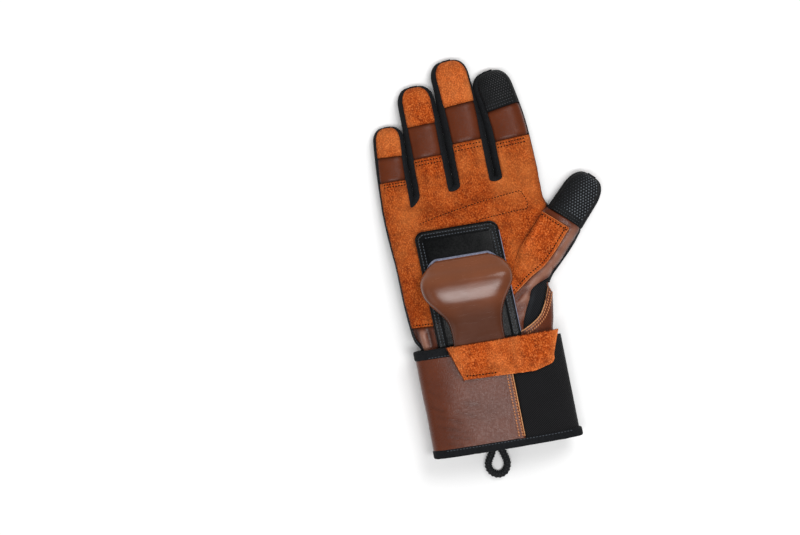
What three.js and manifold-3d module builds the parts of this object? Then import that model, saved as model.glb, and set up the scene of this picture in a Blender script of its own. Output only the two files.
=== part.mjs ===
// A leather wrist guard glove for the right hand, lying on its back with the palm up.
// Millimetres. X points to the thumb side, Y to the fingertips, Z up out of the palm.
import * as THREE from 'three';
import { mergeVertices } from 'three/addons/utils/BufferGeometryUtils.js';
import Module from 'manifold-3d';

const wasm = await Module();
wasm.setup();

// Walls and seams
const leatherWall = 1.2;
const suedeWall = 1.4;
const sideWall = 1.0;
const seamGap = 0.35;

// Cuff and strap
const cuffLength = 72;
const cuffWidth = 98.5;
const cuffHeight = 31.5;
const cuffWall = 3;
const cuffLean = 2.3;
const hemWidth = 5.8;
const topBindingWidth = 6.6;
const bindingProud = 0.4;
const strapWidth = 59.5;
const strapWall = 2.4;
const strapPatchWall = 1.2;
const strapEndRadius = 21;
const strapBindingWidth = 4.2;
const strapOverlap = 17;
const strapPatchRight = 24;
const cuffSeamX = 11.6;
const layerGap = 0.4;

// Hand
const palmWidth = 105;
const palmLength = 105;
const palmHeight = 28;
const handTuck = 9.5;
const fingerSeamLow = 0.35;
const fingerSeamHigh = 0.63;
const stripShare = 0.72;
const forkDip = 3.5;

// Thumb
const thumbWidth = 27.2;
const thumbHeight = 22.6;
const thumbAngle = 47.4;
const thumbTipLength = 33;

// Fingers
const fingerLength = 82;
const fingerHeight = 19;

// Palm pad, guard plate and flap
const padThickness = 4.6;
const padReach = 77.2;
const padTuck = 9;
const padWidth = 55.5;
const padCentreX = -6.3;
const padLean = -4.2;
const padCornerRadius = 6;
const plateReach = 56.6;
const plateTuck = 12;
const plateWidth = 61;
const plateWall = 2.2;
const plateHump = 14;
const flapWidth = 74.5;
const flapLength = 24;
const flapWall = 1.5;

// Pull loop
const loopCord = 5.3;

// The strap's layers stand the cuff off the surface that the glove lies on.
const strapLow = strapPatchWall + layerGap;
const cuffLow = strapLow + strapWall + layerGap + bindingProud;
const cuffMid = cuffLow + cuffHeight / 2;

// What lies on the palm starts inside the cuff or on it, and reaches past its top edge.
const padTop = cuffLength + padReach;
const padBottom = cuffLength - padTuck;
const plateTop = cuffLength + plateReach;
const plateBottom = cuffLength - plateTuck;
const flapTop = cuffLength - layerGap;
const flapBottom = flapTop - flapLength;

// A place on the hand: across as a share of palmWidth, along as a share of palmLength from the cuff.
const onHand = (across, along) => new THREE.Vector2(across * palmWidth, cuffLength + along * palmLength);

// Hand sections. along: share of palmLength from the cuff's top edge to the finger forks.
// left, right: shares of palmWidth. low, mid, high: shares of palmHeight.
// square: how square the back's section is, from an ellipse at 2. The first two lie in the cuff.
const wrist = cuffWidth / palmWidth;
const handSections = [
  { along: -0.1, left: -0.458 * wrist, right: 0.437 * wrist, low: 0.33, mid: 0.62, high: 0.97, square: 2.3 },
  { along: 0.01, left: -0.46 * wrist, right: 0.438 * wrist, low: 0.33, mid: 0.62, high: 0.98, square: 2.3 },
  { along: 0.07, left: -0.465, right: 0.425, low: 0.2, mid: 0.58, high: 1.0, square: 2.8 },
  { along: 0.16, left: -0.48, right: 0.438, low: 0.06, mid: 0.52, high: 1.03, square: 3.4 },
  { along: 0.28, left: -0.492, right: 0.455, low: 0, mid: 0.45, high: 1.03, square: 4 },
  { along: 0.5, left: -0.507, right: 0.48, low: 0, mid: 0.42, high: 1.0, square: 4 },
  { along: 0.74, left: -0.525, right: 0.49, low: 0, mid: 0.4, high: 0.91, square: 4 },
  { along: 0.88, left: -0.532, right: 0.487, low: 0, mid: 0.37, high: 0.79, square: 4 },
  { along: 1.0, left: -0.533, right: 0.485, low: 0, mid: 0.34, high: 0.7, square: 4 },
];

// Fingers from the little finger to the index finger. across, along: the middle of the root on the hand.
// width: share of palmWidth. height: share of fingerHeight. length: share of fingerLength, and so are
// bend and tipShift, how far the middle line stands off the root's line halfway and at the tip.
const fingerShares = [
  { name: 'little', across: -0.426, along: 0.905, length: 0.659, bend: 0.002, tipShift: 0.018, width: 0.212, height: 0.895 },
  { name: 'ring', across: -0.188, along: 0.967, length: 0.866, bend: -0.011, tipShift: -0.027, width: 0.251, height: 0.974 },
  { name: 'middle', across: 0.076, along: 0.99, length: 1, bend: -0.02, tipShift: -0.068, width: 0.259, height: 1 },
  { name: 'index', across: 0.35, along: 1.005, length: 0.841, bend: -0.026, tipShift: -0.105, width: 0.269, height: 1 },
];
const fingers = fingerShares.map((finger) => ({
  name: finger.name,
  root: onHand(finger.across, finger.along),
  length: finger.length * fingerLength,
  bend: finger.bend * fingerLength,
  tipShift: finger.tipShift * fingerLength,
  width: finger.width * palmWidth,
  height: finger.height * fingerHeight,
  mid: (finger.height * fingerHeight) / 2,
}));

// The thumb's root, and the outer edge of the palm where it swells into the thumb.
const thumbRoot = onHand(0.596, 0.673);
const thumbEdge = [[0.421, 0.286], [0.453, 0.343], [0.518, 0.41], [0.587, 0.481], [0.642, 0.548]]
  .map(([across, along]) => onHand(across, along));

// Guard plate outline. along: share from the wrist end to the palm end.
// left, right: shares of plateWidth. hump: share of plateHump.
const plateSections = [
  { along: 0, left: -0.4, right: 0.175, hump: 0.09 },
  { along: 0.12, left: -0.397, right: 0.168, hump: 0.09 },
  { along: 0.22, left: -0.392, right: 0.163, hump: 0.13 },
  { along: 0.32, left: -0.397, right: 0.165, hump: 0.22 },
  { along: 0.42, left: -0.427, right: 0.18, hump: 0.42 },
  { along: 0.52, left: -0.51, right: 0.222, hump: 0.72 },
  { along: 0.62, left: -0.6, right: 0.288, hump: 0.95 },
  { along: 0.7, left: -0.636, right: 0.342, hump: 1.0 },
  { along: 0.78, left: -0.644, right: 0.356, hump: 0.93 },
  { along: 0.85, left: -0.625, right: 0.338, hump: 0.75 },
  { along: 0.92, left: -0.565, right: 0.28, hump: 0.5 },
  { along: 0.97, left: -0.5, right: 0.2, hump: 0.3 },
  { along: 1, left: -0.437, right: 0.128, hump: 0.16 },
];

// Suede flap outline. along: share from the bottom edge to the top edge.
// left, right: shares of flapWidth.
const flapSections = [
  { along: 0, left: -0.278, right: 0.35 },
  { along: 0.14, left: -0.294, right: 0.508 },
  { along: 0.4, left: -0.322, right: 0.54 },
  { along: 0.7, left: -0.356, right: 0.575 },
  { along: 1, left: -0.388, right: 0.612 },
];

// Seams drawn on the palm and the back of the hand, across and along at each point.
const heelSeam = [[-0.61, 0.149], [-0.419, 0.145], [-0.295, 0.139], [-0.295, -0.114]];
const thumbSuedeInner = [[0.571, 0.819], [0.463, 0.733], [0.362, 0.623], [0.276, 0.524], [0.2, 0.362], [0.16, 0.222]];
const thumbSuedeEdge = [
  [0.419, 0.786], [0.465, 0.739], [0.609, 0.607], [0.504, 0.484], [0.418, 0.401],
  [0.324, 0.346], [0.202, 0.255], [0.114, 0.19], [0.105, 0.029], [0.105, -0.133],
];
const thumbLeatherEdge = [
  [0.533, 0.367], [0.447, 0.328], [0.357, 0.295], [0.309, 0.263],
  [0.29, 0.213], [0.25, 0.13], [0.223, 0.043], [0.21, -0.114],
];
const wrapSeam = [
  [0.495, 0.339], [0.45, 0.317], [0.41, 0.233], [0.377, 0.154], [0.327, 0.085], [0.223, 0.025], [0.114, 0],
];
const ribSeam = [
  [-0.61, 0.714], [-0.514, 0.705], [-0.314, 0.681], [-0.076, 0.619], [0.143, 0.5],
  [0.238, 0.381], [0.267, 0.238], [0.243, 0.114], [0.181, -0.01], [0.133, -0.152],
];

// Pull loop route, chosen by hand: x, y, z of the cord's middle line.
const loopRoute = [
  [-9.2, -0.4, 6.4], [-9.35, -1.6, 6.35], [-10.7, -4.4, 5.8], [-12.3, -7.2, 4.9], [-13.5, -10.2, 3.9],
  [-13.5, -13.2, 3.2], [-12.1, -16.0, 2.9], [-9.6, -17.9, 2.8], [-6.6, -18.4, 2.8], [-3.8, -17.3, 2.8],
  [-1.9, -14.9, 3.0], [-1.1, -11.9, 3.5], [-1.4, -8.8, 4.4], [-2.2, -5.8, 5.4], [-3.1, -3.2, 6.1],
  [-3.45, -1.6, 6.35], [-3.5, -0.4, 6.4],
];

const finishes = {
  leather: { color: 0x7a4028, roughness: 0.38 },
  suede: { color: 0xb5642a, roughness: 0.95 },
  knit: { color: 0x17191b, roughness: 0.9 },
  rib: { color: 0x1b1d1f, roughness: 0.8 },
  grip: { color: 0x202326, roughness: 0.7 },
  padLeather: { color: 0x1c2023, roughness: 0.5 },
  rubber: { color: 0x16181a, roughness: 0.45 },
  plate: { color: 0x754430, roughness: 0.28 },
};

const group = new THREE.Group();

function addMesh(name, finish, geometry) {
  const material = new THREE.MeshStandardMaterial({ ...finishes[finish], metalness: 0 });
  const mesh = new THREE.Mesh(geometry, material);
  mesh.name = name;
  group.add(mesh);
}

const lerp = THREE.MathUtils.lerp;
const smoothstep = (value, low, high) => THREE.MathUtils.smoothstep(value, low, high);

// Reads one column of a table at a share of its first column, along a smooth curve.
function tableAt(table, key, at, column) {
  let i = 0;
  while (i < table.length - 2 && at > table[i + 1][key]) i += 1;
  const before = table[Math.max(i - 1, 0)];
  const a = table[i];
  const b = table[i + 1];
  const after = table[Math.min(i + 2, table.length - 1)];
  const span = b[key] - a[key];
  const t = THREE.MathUtils.clamp((at - a[key]) / span, 0, 1);
  const slopeA = ((b[column] - before[column]) / (b[key] - before[key])) * span;
  const slopeB = ((after[column] - a[column]) / (after[key] - a[key])) * span;
  const t2 = t * t;
  const t3 = t2 * t;
  return (2 * t3 - 3 * t2 + 1) * a[column] + (t3 - 2 * t2 + t) * slopeA
    + (3 * t2 - 2 * t3) * b[column] + (t3 - t2) * slopeB;
}

// Height share of a rounded section at a lateral share from -1 to 1.
function crown(lateral, roundness) {
  const side = Math.min(Math.abs(lateral), 1);
  return Math.pow(1 - Math.pow(side, roundness), 1 / roundness);
}

function softMax(a, b) {
  return Math.pow(Math.pow(a, 6) + Math.pow(b, 6), 1 / 6);
}

// A closed solid between two grids of points. hasCell says which cells of the grid exist.
function solidBetween(outer, inner, hasCell = () => true) {
  const rows = outer.length;
  const lines = outer[0].length;
  const positions = [];
  const cell = (i, j) => i >= 0 && j >= 0 && i < rows - 1 && j < lines - 1 && hasCell(i, j);
  const quad = (a, b, c, d) => {
    for (const p of [a, b, c, a, c, d]) positions.push(p.x, p.y, p.z);
  };
  for (let i = 0; i < rows - 1; i += 1) {
    for (let j = 0; j < lines - 1; j += 1) {
      if (!cell(i, j)) continue;
      quad(outer[i][j], outer[i][j + 1], outer[i + 1][j + 1], outer[i + 1][j]);
      quad(inner[i][j], inner[i + 1][j], inner[i + 1][j + 1], inner[i][j + 1]);
      if (!cell(i - 1, j)) quad(outer[i][j], inner[i][j], inner[i][j + 1], outer[i][j + 1]);
      if (!cell(i + 1, j)) quad(outer[i + 1][j + 1], inner[i + 1][j + 1], inner[i + 1][j], outer[i + 1][j]);
      if (!cell(i, j - 1)) quad(outer[i + 1][j], inner[i + 1][j], inner[i][j], outer[i][j]);
      if (!cell(i, j + 1)) quad(outer[i][j + 1], inner[i][j + 1], inner[i + 1][j + 1], outer[i + 1][j + 1]);
    }
  }
  const geometry = new THREE.BufferGeometry();
  geometry.setAttribute('position', new THREE.Float32BufferAttribute(positions, 3));
  geometry.computeVertexNormals();
  return geometry;
}

// The grid moved along its own normals, outwards for a positive distance.
function offsetGrid(grid, distance, hasCell = () => true) {
  const normals = grid.map((row) => row.map(() => new THREE.Vector3()));
  for (let i = 0; i < grid.length - 1; i += 1) {
    for (let j = 0; j < grid[0].length - 1; j += 1) {
      if (!hasCell(i, j)) continue;
      const across = grid[i][j + 1].clone().sub(grid[i][j]).add(grid[i + 1][j + 1]).sub(grid[i + 1][j]);
      const up = grid[i + 1][j].clone().sub(grid[i][j]).add(grid[i + 1][j + 1]).sub(grid[i][j + 1]);
      const normal = across.cross(up).normalize();
      for (const [a, b] of [[i, j], [i + 1, j], [i, j + 1], [i + 1, j + 1]]) normals[a][b].add(normal);
    }
  }
  return grid.map((row, i) => row.map((p, j) => p.clone().addScaledVector(normals[i][j].normalize(), distance)));
}

// A wall whose outer face is the grid.
function wall(grid, thickness, hasCell) {
  return solidBetween(grid, offsetGrid(grid, -thickness, hasCell), hasCell);
}

function toSolid(geometry) {
  const bare = new THREE.BufferGeometry();
  bare.setAttribute('position', geometry.getAttribute('position').clone());
  if (geometry.index) bare.setIndex(geometry.index.clone());
  const merged = mergeVertices(bare, 1e-3);
  return new wasm.Manifold(new wasm.Mesh({
    numProp: 3,
    vertProperties: merged.attributes.position.array,
    triVerts: new Uint32Array(merged.index.array),
  }));
}

function toGeometry(solid) {
  const mesh = solid.getMesh();
  const points = [];
  for (let i = 0; i < mesh.numVert; i += 1) {
    for (let k = 0; k < 3; k += 1) points.push(mesh.vertProperties[i * mesh.numProp + k]);
  }
  const geometry = new THREE.BufferGeometry();
  geometry.setAttribute('position', new THREE.Float32BufferAttribute(points, 3));
  geometry.setIndex([...mesh.triVerts]);
  return geometry;
}

// A thin upright blade along a seam, for cutting one panel from the next.
function seamBlade(points) {
  const path = points.map(([across, along]) => onHand(across, along));
  const left = [];
  const right = [];
  path.forEach((p, i) => {
    const before = path[Math.max(i - 1, 0)];
    const after = path[Math.min(i + 1, path.length - 1)];
    const along = after.clone().sub(before).normalize();
    const side = new THREE.Vector2(-along.y, along.x).multiplyScalar(seamGap / 2);
    left.push(p.clone().add(side));
    right.unshift(p.clone().sub(side));
  });
  const shape = new THREE.Shape([...left, ...right]);
  const blade = new THREE.ExtrudeGeometry(shape, { depth: palmHeight * 3, bevelEnabled: false });
  blade.translate(0, 0, -palmHeight);
  return toSolid(blade);
}

// Cuts a sheet along its seams and names each panel by a point that lies on it.
function addPanels(geometry, seams, panels) {
  let solid = toSolid(geometry);
  for (const seam of seams) solid = solid.subtract(seamBlade(seam));
  const bodies = solid.decompose().filter((body) => body.volume() > leatherWall);
  for (const panel of panels) {
    const probe = new THREE.BoxGeometry(1.5, 1.5, palmHeight * 3);
    probe.translate(panel.on.x, panel.on.y, palmHeight / 2);
    const probeSolid = toSolid(probe);
    const found = bodies.find((body) => !body.intersect(probeSolid).isEmpty());
    if (!found) throw new Error(panel.name + ' has no panel at its point');
    bodies.splice(bodies.indexOf(found), 1);
    addMesh(panel.name, panel.finish, toGeometry(found));
  }
}

// Hand surface
const handBase = cuffLength - handTuck;
const alongHand = (y) => (y - cuffLength) / palmLength;
const handSize = (y, column, size) => tableAt(handSections, 'along', alongHand(y), column) * size;
const thumbForward = new THREE.Vector2(
  Math.cos(THREE.MathUtils.degToRad(thumbAngle)),
  Math.sin(THREE.MathUtils.degToRad(thumbAngle)),
);
const thumbAcross = new THREE.Vector2(thumbForward.y, -thumbForward.x);
const thumbMid = palmHeight * 0.41;

// Height of the palm side (side 1) or the back (side -1) of the hand at x, y.
function handZ(x, y, side) {
  const left = handSize(y, 'left', palmWidth);
  const right = handSize(y, 'right', palmWidth);
  const mid = handSize(y, 'mid', palmHeight);
  const low = Math.max(0, handSize(y, 'low', palmHeight));
  const reach = side > 0 ? handSize(y, 'high', palmHeight) - mid : mid - low;
  const lateral = (x - (left + right) / 2) / ((right - left) / 2);
  const fromThumb = new THREE.Vector2(x, y).sub(thumbRoot);
  const thumbLateral = fromThumb.dot(thumbAcross) / (thumbWidth / 2);
  const thumbFade = smoothstep(fromThumb.dot(thumbForward), -palmLength * 0.42, -palmLength * 0.2);
  const thumbReach = side > 0 ? thumbHeight - thumbMid : thumbMid;
  const body = reach * crown(lateral, side > 0 ? 2.6 : handSize(y, 'square', 1));
  const thumb = thumbReach * thumbFade * crown(thumbLateral, 2.4);
  return Math.max(mid + side * softMax(body, thumb), 0);
}

// One finger or the thumb: its middle line and its section at a share of its length.
function makeDigit({ root, forward, bend = 0, tipShift = 0, length, width, height, mid }) {
  const across = new THREE.Vector2(forward.y, -forward.x);
  const pointAt = (share, shift) => root.clone().addScaledVector(forward, length * share)
    .addScaledVector(across, shift);
  const line = new THREE.SplineCurve([pointAt(0, 0), pointAt(0.5, bend), pointAt(1, tipShift)]);
  const tipRadius = width * 0.5;
  return (share, lateral, side) => {
    const at = line.getPoint(share);
    const tangent = line.getTangent(share);
    const inTip = Math.max(0, (tipRadius - (1 - share) * length) / tipRadius);
    const taper = 1 - 0.08 * share;
    const wide = (width / 2) * taper * Math.sqrt(1 - 0.9 * inTip ** 2);
    const tall = (height / 2) * (1 - 0.16 * share) * Math.sqrt(1 - 0.94 * inTip ** 2);
    const centre = mid * (1 - 0.16 * share);
    const normal = new THREE.Vector2(tangent.y, -tangent.x);
    at.addScaledVector(normal, wide * lateral);
    return new THREE.Vector3(at.x, at.y, centre + side * tall * crown(lateral, 2.4));
  };
}

const up = new THREE.Vector2(0, 1);
const digits = fingers.map((finger) => makeDigit({ ...finger, forward: up }));
const thumbDigit = makeDigit({
  root: thumbRoot,
  forward: thumbForward,
  length: thumbTipLength,
  width: thumbWidth,
  height: thumbHeight,
  mid: thumbMid,
});

// Lines across the hand: five on each finger, and one in each fork.
const stripLaterals = [-stripShare, -stripShare / 2, 0, stripShare / 2, stripShare];
const handLines = [];
fingers.forEach((finger, f) => {
  stripLaterals.forEach((lateral) => handLines.push({ finger: f, lateral }));
  if (f < fingers.length - 1) handLines.push({ fork: f });
});
const digitRows = [0, 0.1, 0.2, 0.48, 0.72, 0.83, 0.91, 0.965, 1];

// The root of each line, where the fingers part from the palm.
function lineRoot(line, side) {
  if (line.fork === undefined) return digits[line.finger](0, line.lateral, side);
  const a = digits[line.fork](0, stripShare, side);
  const b = digits[line.fork + 1](0, -stripShare, side);
  const middle = a.add(b).multiplyScalar(0.5);
  middle.y -= forkDip;
  return middle;
}

// Rows of the hand, by the y of their thumb-side end, and x of that end.
const thumbHalf = thumbAcross.clone().multiplyScalar((thumbWidth / 2) * stripShare);
const thumbOuterRoot = thumbRoot.clone().add(thumbHalf);
const thumbInnerRoot = thumbRoot.clone().sub(thumbHalf);
const stripInset = (1 - stripShare) * fingers[3].width / 2;
const straightEdge = (y) => ({ y, x: handSize(y, 'right', palmWidth) - stripInset });
const indexRoot = lineRoot(handLines[handLines.length - 1], 1);
const handEdge = [
  straightEdge(handBase),
  ...[0.008, 0.067, 0.143, 0.219].map((along) => straightEdge(onHand(0, along).y)),
  ...thumbEdge,
  thumbOuterRoot,
  thumbRoot,
  thumbInnerRoot,
  straightEdge(thumbInnerRoot.y + palmLength * 0.086),
  straightEdge((thumbInnerRoot.y + palmLength * 0.086 + indexRoot.y) / 2),
  indexRoot,
];
const thumbFirstRow = handEdge.findIndex((edge) => edge === thumbEdge[0]);
const thumbRootRow = thumbFirstRow + thumbEdge.length;
const forkRow = handEdge.length - 1;

function handPoint(row, line, side) {
  const root = lineRoot(line, side);
  if (row === forkRow) return root;
  const edge = handEdge[row];
  const rootLeft = handSize(indexRoot.y, 'left', palmWidth);
  const across = (root.x - rootLeft) / (indexRoot.x - rootLeft);
  const share = (edge.y - handBase) / (indexRoot.y - handBase);
  const drop = (indexRoot.y - root.y) * share ** 2;
  const y = edge.y - drop;
  const left = handSize(y, 'left', palmWidth);
  const x = lerp(left, edge.x, across);
  const blend = smoothstep(share, 0.66, 1);
  return new THREE.Vector3(x, y, lerp(handZ(x, y, side), root.z, blend));
}

// The palm side or the back with its four fingers, as one comb-shaped grid.
function handGrid(side) {
  const grid = [];
  handEdge.forEach((edge, row) => grid.push(handLines.map((line) => handPoint(row, line, side))));
  for (const share of digitRows.slice(1)) {
    grid.push(handLines.map((line) => (line.fork === undefined
      ? digits[line.finger](share, line.lateral, side)
      : lineRoot(line, side))));
  }
  return side > 0 ? grid : grid.map((row) => row.slice().reverse());
}
const lineCount = handLines.length;
const isFork = (line) => handLines[line].fork !== undefined;
const palmCell = (i, j) => i < forkRow || !(isFork(j) || isFork(j + 1));
const backCell = (i, j) => palmCell(i, lineCount - 2 - j);

const palmGrid = handGrid(1);
const backGrid = handGrid(-1);
const palmAt = (row, line) => palmGrid[row][line];
const backAt = (row, line) => backGrid[row][lineCount - 1 - line];

const crossSeam = (f, share) => [-1.2, 1.2].map((lateral) => {
  const end = digits[f](share, lateral, 1);
  return [end.x / palmWidth, alongHand(end.y)];
});
const fingerSeams = fingers.flatMap((finger, f) => [crossSeam(f, fingerSeamLow), crossSeam(f, fingerSeamHigh)]);
const fingerPanels = fingers.flatMap((finger, f) => {
  const middle = digits[f]((fingerSeamLow + fingerSeamHigh) / 2, 0, 1);
  const tip = digits[f](0.8, 0, 1);
  return [
    { name: `${finger.name}_mid_panel`, finish: 'leather', on: middle },
    { name: `${finger.name}_tip_patch`, finish: finger.name === 'index' ? 'grip' : 'suede', on: tip },
  ];
});
addPanels(
  wall(palmGrid, suedeWall, palmCell),
  [heelSeam, thumbSuedeInner, thumbSuedeEdge, thumbLeatherEdge, wrapSeam, ...fingerSeams],
  [
    { name: 'palm_suede', finish: 'suede', on: onHand(0, 0.838) },
    { name: 'heel_leather', finish: 'leather', on: onHand(-0.4, 0.076) },
    { name: 'thumb_suede', finish: 'suede', on: onHand(0.438, 0.552) },
    { name: 'thumb_leather', finish: 'leather', on: onHand(0.59, 0.533) },
    { name: 'thumb_rib_panel', finish: 'rib', on: onHand(0.343, 0.2) },
    { name: 'side_wrap_leather', finish: 'leather', on: onHand(0.381, 0.076) },
    ...fingerPanels,
  ],
);
addPanels(wall(backGrid, leatherWall, backCell), [ribSeam], [
  { name: 'back_rib_panel', finish: 'rib', on: onHand(-0.19, 0.362) },
  { name: 'back_leather', finish: 'leather', on: onHand(0.286, 0.743) },
]);

// Side walls between the palm side's edge and the back's edge, bulging outwards.
// Each point of the path: palm point, back point, and how far the wall bulges.
const sideShares = [0.07, 0.28, 0.5, 0.72, 0.93];
function sideGrid(path) {
  return path.map((point, i) => {
    const before = path[Math.max(i - 1, 0)].palm;
    const after = path[Math.min(i + 1, path.length - 1)].palm;
    const out = new THREE.Vector3(before.y - after.y, after.x - before.x, 0).normalize();
    return sideShares.map((share) => point.palm.clone().lerp(point.back, share)
      .addScaledVector(out, point.bulge * Math.sin(Math.PI * share) ** 0.8)).reverse();
  });
}
function digitPath(digit, lateral, width, length) {
  return digitRows.map((share) => {
    const tipward = Math.max(0, 1 - ((1 - share) * length) / (width / 2));
    return {
      palm: digit(share, lateral, 1),
      back: digit(share, lateral, -1),
      bulge: ((1 - stripShare) * width / 2) * (1 - 0.08 * share) * Math.sqrt(1 - 0.9 * tipward ** 2),
    };
  });
}
const fingerPath = (f, lateral) => digitPath(digits[f], lateral, fingers[f].width, fingers[f].length);
const thumbPath = (lateral) => digitPath(thumbDigit, lateral, thumbWidth, thumbTipLength);
const handPath = (line, rows, bulge) => rows.map((row) => ({
  palm: palmAt(row, line),
  back: backAt(row, line),
  bulge,
}));
const rowsFrom = (first, last) => Array.from({ length: last - first + 1 }, (_, i) => first + i);

fingers.slice(0, -1).forEach((finger, f) => {
  const fork = handLines.findIndex((line) => line.fork === f);
  const path = [
    ...fingerPath(f, stripShare).reverse(),
    { palm: palmAt(forkRow, fork), back: backAt(forkRow, fork), bulge: forkDip * 0.6 },
    ...fingerPath(f + 1, -stripShare),
  ];
  addMesh(`fourchette_${finger.name}_${fingers[f + 1].name}`, 'knit', wall(sideGrid(path), sideWall));
});
const littleBulge = (1 - stripShare) * fingers[0].width / 2;
addMesh('little_side_strip', 'knit', wall(sideGrid([
  ...handPath(0, rowsFrom(0, forkRow - 1), littleBulge),
  ...fingerPath(0, -stripShare),
]), sideWall));
const indexSide = [
  ...fingerPath(3, stripShare).reverse(),
  ...handPath(lineCount - 1, rowsFrom(thumbRootRow + 3, forkRow - 1), stripInset * 0.8).reverse(),
  ...thumbPath(-stripShare),
];
addMesh('index_thumb_strip', 'knit', wall(sideGrid(indexSide), sideWall));
const seamShare = 0.22;
const thumbOuterPath = [
  ...thumbPath(stripShare).reverse(),
  ...handPath(lineCount - 1, rowsFrom(thumbFirstRow, thumbRootRow - 1), stripInset * 0.9).reverse(),
];
addMesh('thumb_outer_strip', 'knit', wall(sideGrid(thumbOuterPath), sideWall));
const wristSidePath = handPath(lineCount - 1, rowsFrom(0, thumbFirstRow), stripInset * 0.9).reverse();
wristSidePath[0] = {
  palm: wristSidePath[0].palm.clone().lerp(wristSidePath[1].palm, seamShare),
  back: wristSidePath[0].back.clone().lerp(wristSidePath[1].back, seamShare),
  bulge: wristSidePath[0].bulge,
};
addMesh('wrist_side_leather', 'leather', wall(sideGrid(wristSidePath), leatherWall));

// Thumb tip: the grip patch on the palm side and leather on the back.
function thumbGrid(side) {
  const laterals = side > 0 ? stripLaterals : stripLaterals.slice().reverse();
  const start = (1.4 * seamGap) / thumbTipLength;
  return digitRows.map((share) => laterals.map((lateral) => thumbDigit(lerp(start, 1, share), lateral, side)));
}
addMesh('thumb_grip_tip', 'grip', wall(thumbGrid(1), suedeWall));
addMesh('thumb_back_leather', 'leather', wall(thumbGrid(-1), leatherWall));

// Cuff. An angle of 90 is the middle of the palm side, 0 the thumb side, -90 the back.
const cuffRoundness = 2.6;
const cuffCentre = (y) => cuffLean * (0.5 - y / cuffLength);
function cuffPoint(angle, y, proud, extraLow = 0) {
  const c = Math.cos(THREE.MathUtils.degToRad(angle));
  const s = Math.sin(THREE.MathUtils.degToRad(angle));
  const bend = (value) => Math.sign(value) * Math.abs(value) ** (2 / cuffRoundness);
  const reach = cuffHeight / 2 + proud + (s < 0 ? extraLow : 0);
  return new THREE.Vector3(
    cuffCentre(y) + (cuffWidth / 2 + proud) * bend(c),
    y,
    cuffMid + reach * bend(s),
  );
}
const cuffAngleAt = (x) => {
  const share = (x - cuffCentre(cuffLength / 2)) / (cuffWidth / 2);
  return THREE.MathUtils.radToDeg(Math.acos(Math.sign(share) * Math.abs(share) ** (cuffRoundness / 2)));
};
const seamAngle = cuffAngleAt(cuffSeamX);
const seamStep = THREE.MathUtils.radToDeg(seamGap / (cuffWidth / 2));
const leatherEnd = 360 - cuffAngleAt(cuffWidth / 2 - strapOverlap);
const bindingEnd = leatherEnd - 7;
const spread = (from, to, steps) => Array.from({ length: steps + 1 }, (_, i) => lerp(from, to, i / steps));

function cuffGrid(angles, levels, proud) {
  return levels.map((y) => angles.map((angle) => cuffPoint(angle, y, proud)).reverse());
}
const leatherAngles = spread(seamAngle + seamStep / 2, leatherEnd, 26);
const leatherLevels = [hemWidth + seamGap, cuffLength / 2, cuffLength - topBindingWidth - seamGap];
addMesh('cuff_leather', 'leather', wall(cuffGrid(leatherAngles, leatherLevels, 0), cuffWall));
addMesh('cuff_top_binding', 'knit', wall(
  cuffGrid(spread(seamAngle + 4, bindingEnd, 26), [cuffLength - topBindingWidth, cuffLength], bindingProud),
  cuffWall + 2 * bindingProud,
));
const hemEndAngle = -14;
addMesh('cuff_hem', 'knit', wall(
  cuffGrid(spread(hemEndAngle, bindingEnd, 34), [0, hemWidth], bindingProud),
  cuffWall + 2 * bindingProud,
));

// Elastic half of the cuff. It runs round the thumb side and on under the cuff as the strap.
const strapDrop = cuffLow - strapLow;
const elasticStart = seamAngle - seamStep / 2;
const strapTurn = -68;
const strapX = cuffPoint(strapTurn, cuffLength / 2, 0, strapDrop).x;
const strapEndX = -cuffWidth / 2 + cuffWall;
const elasticTop = cuffLength - topBindingWidth * 0.6;
const strapTop = strapWidth;
const strapBottom = 0.4;
function strapHalfAt(x) {
  const past = Math.max(0, strapEndX + strapEndRadius - x) / strapEndRadius;
  const straight = (strapTop - strapBottom) / 2 - strapEndRadius;
  return straight + strapEndRadius * Math.sqrt(Math.max(0, 1 - past ** 2));
}
const strapMiddle = (strapTop + strapBottom) / 2;
const turnShare = (angle) => smoothstep(-angle, 22, 62);
const elasticAngles = [...spread(elasticStart, -20, 14), ...spread(-30, strapTurn, 5)];
const endAngles = [30, 50, 66, 79, 86].map((angle) => THREE.MathUtils.degToRad(angle));
const strapXs = [
  ...spread(strapX - 4, strapEndX + strapEndRadius, 6),
  ...endAngles.map((angle) => strapEndX + strapEndRadius * (1 - Math.sin(angle))),
];
const elasticGrid = [0, 0.5, 1].map((level) => [
  ...elasticAngles.map((angle) => {
    const turn = turnShare(angle);
    const low = lerp(hemWidth + seamGap, strapBottom, turn);
    const high = lerp(elasticTop, strapTop, turn);
    return cuffPoint(angle, lerp(low, high, level), 0, strapDrop * smoothstep(-angle, 0, 50));
  }),
  ...strapXs.map((x) => new THREE.Vector3(x, strapMiddle + strapHalfAt(x) * (2 * level - 1), strapLow)),
]);
addMesh('elastic_strap', 'knit', wall(elasticGrid, strapWall));

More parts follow.
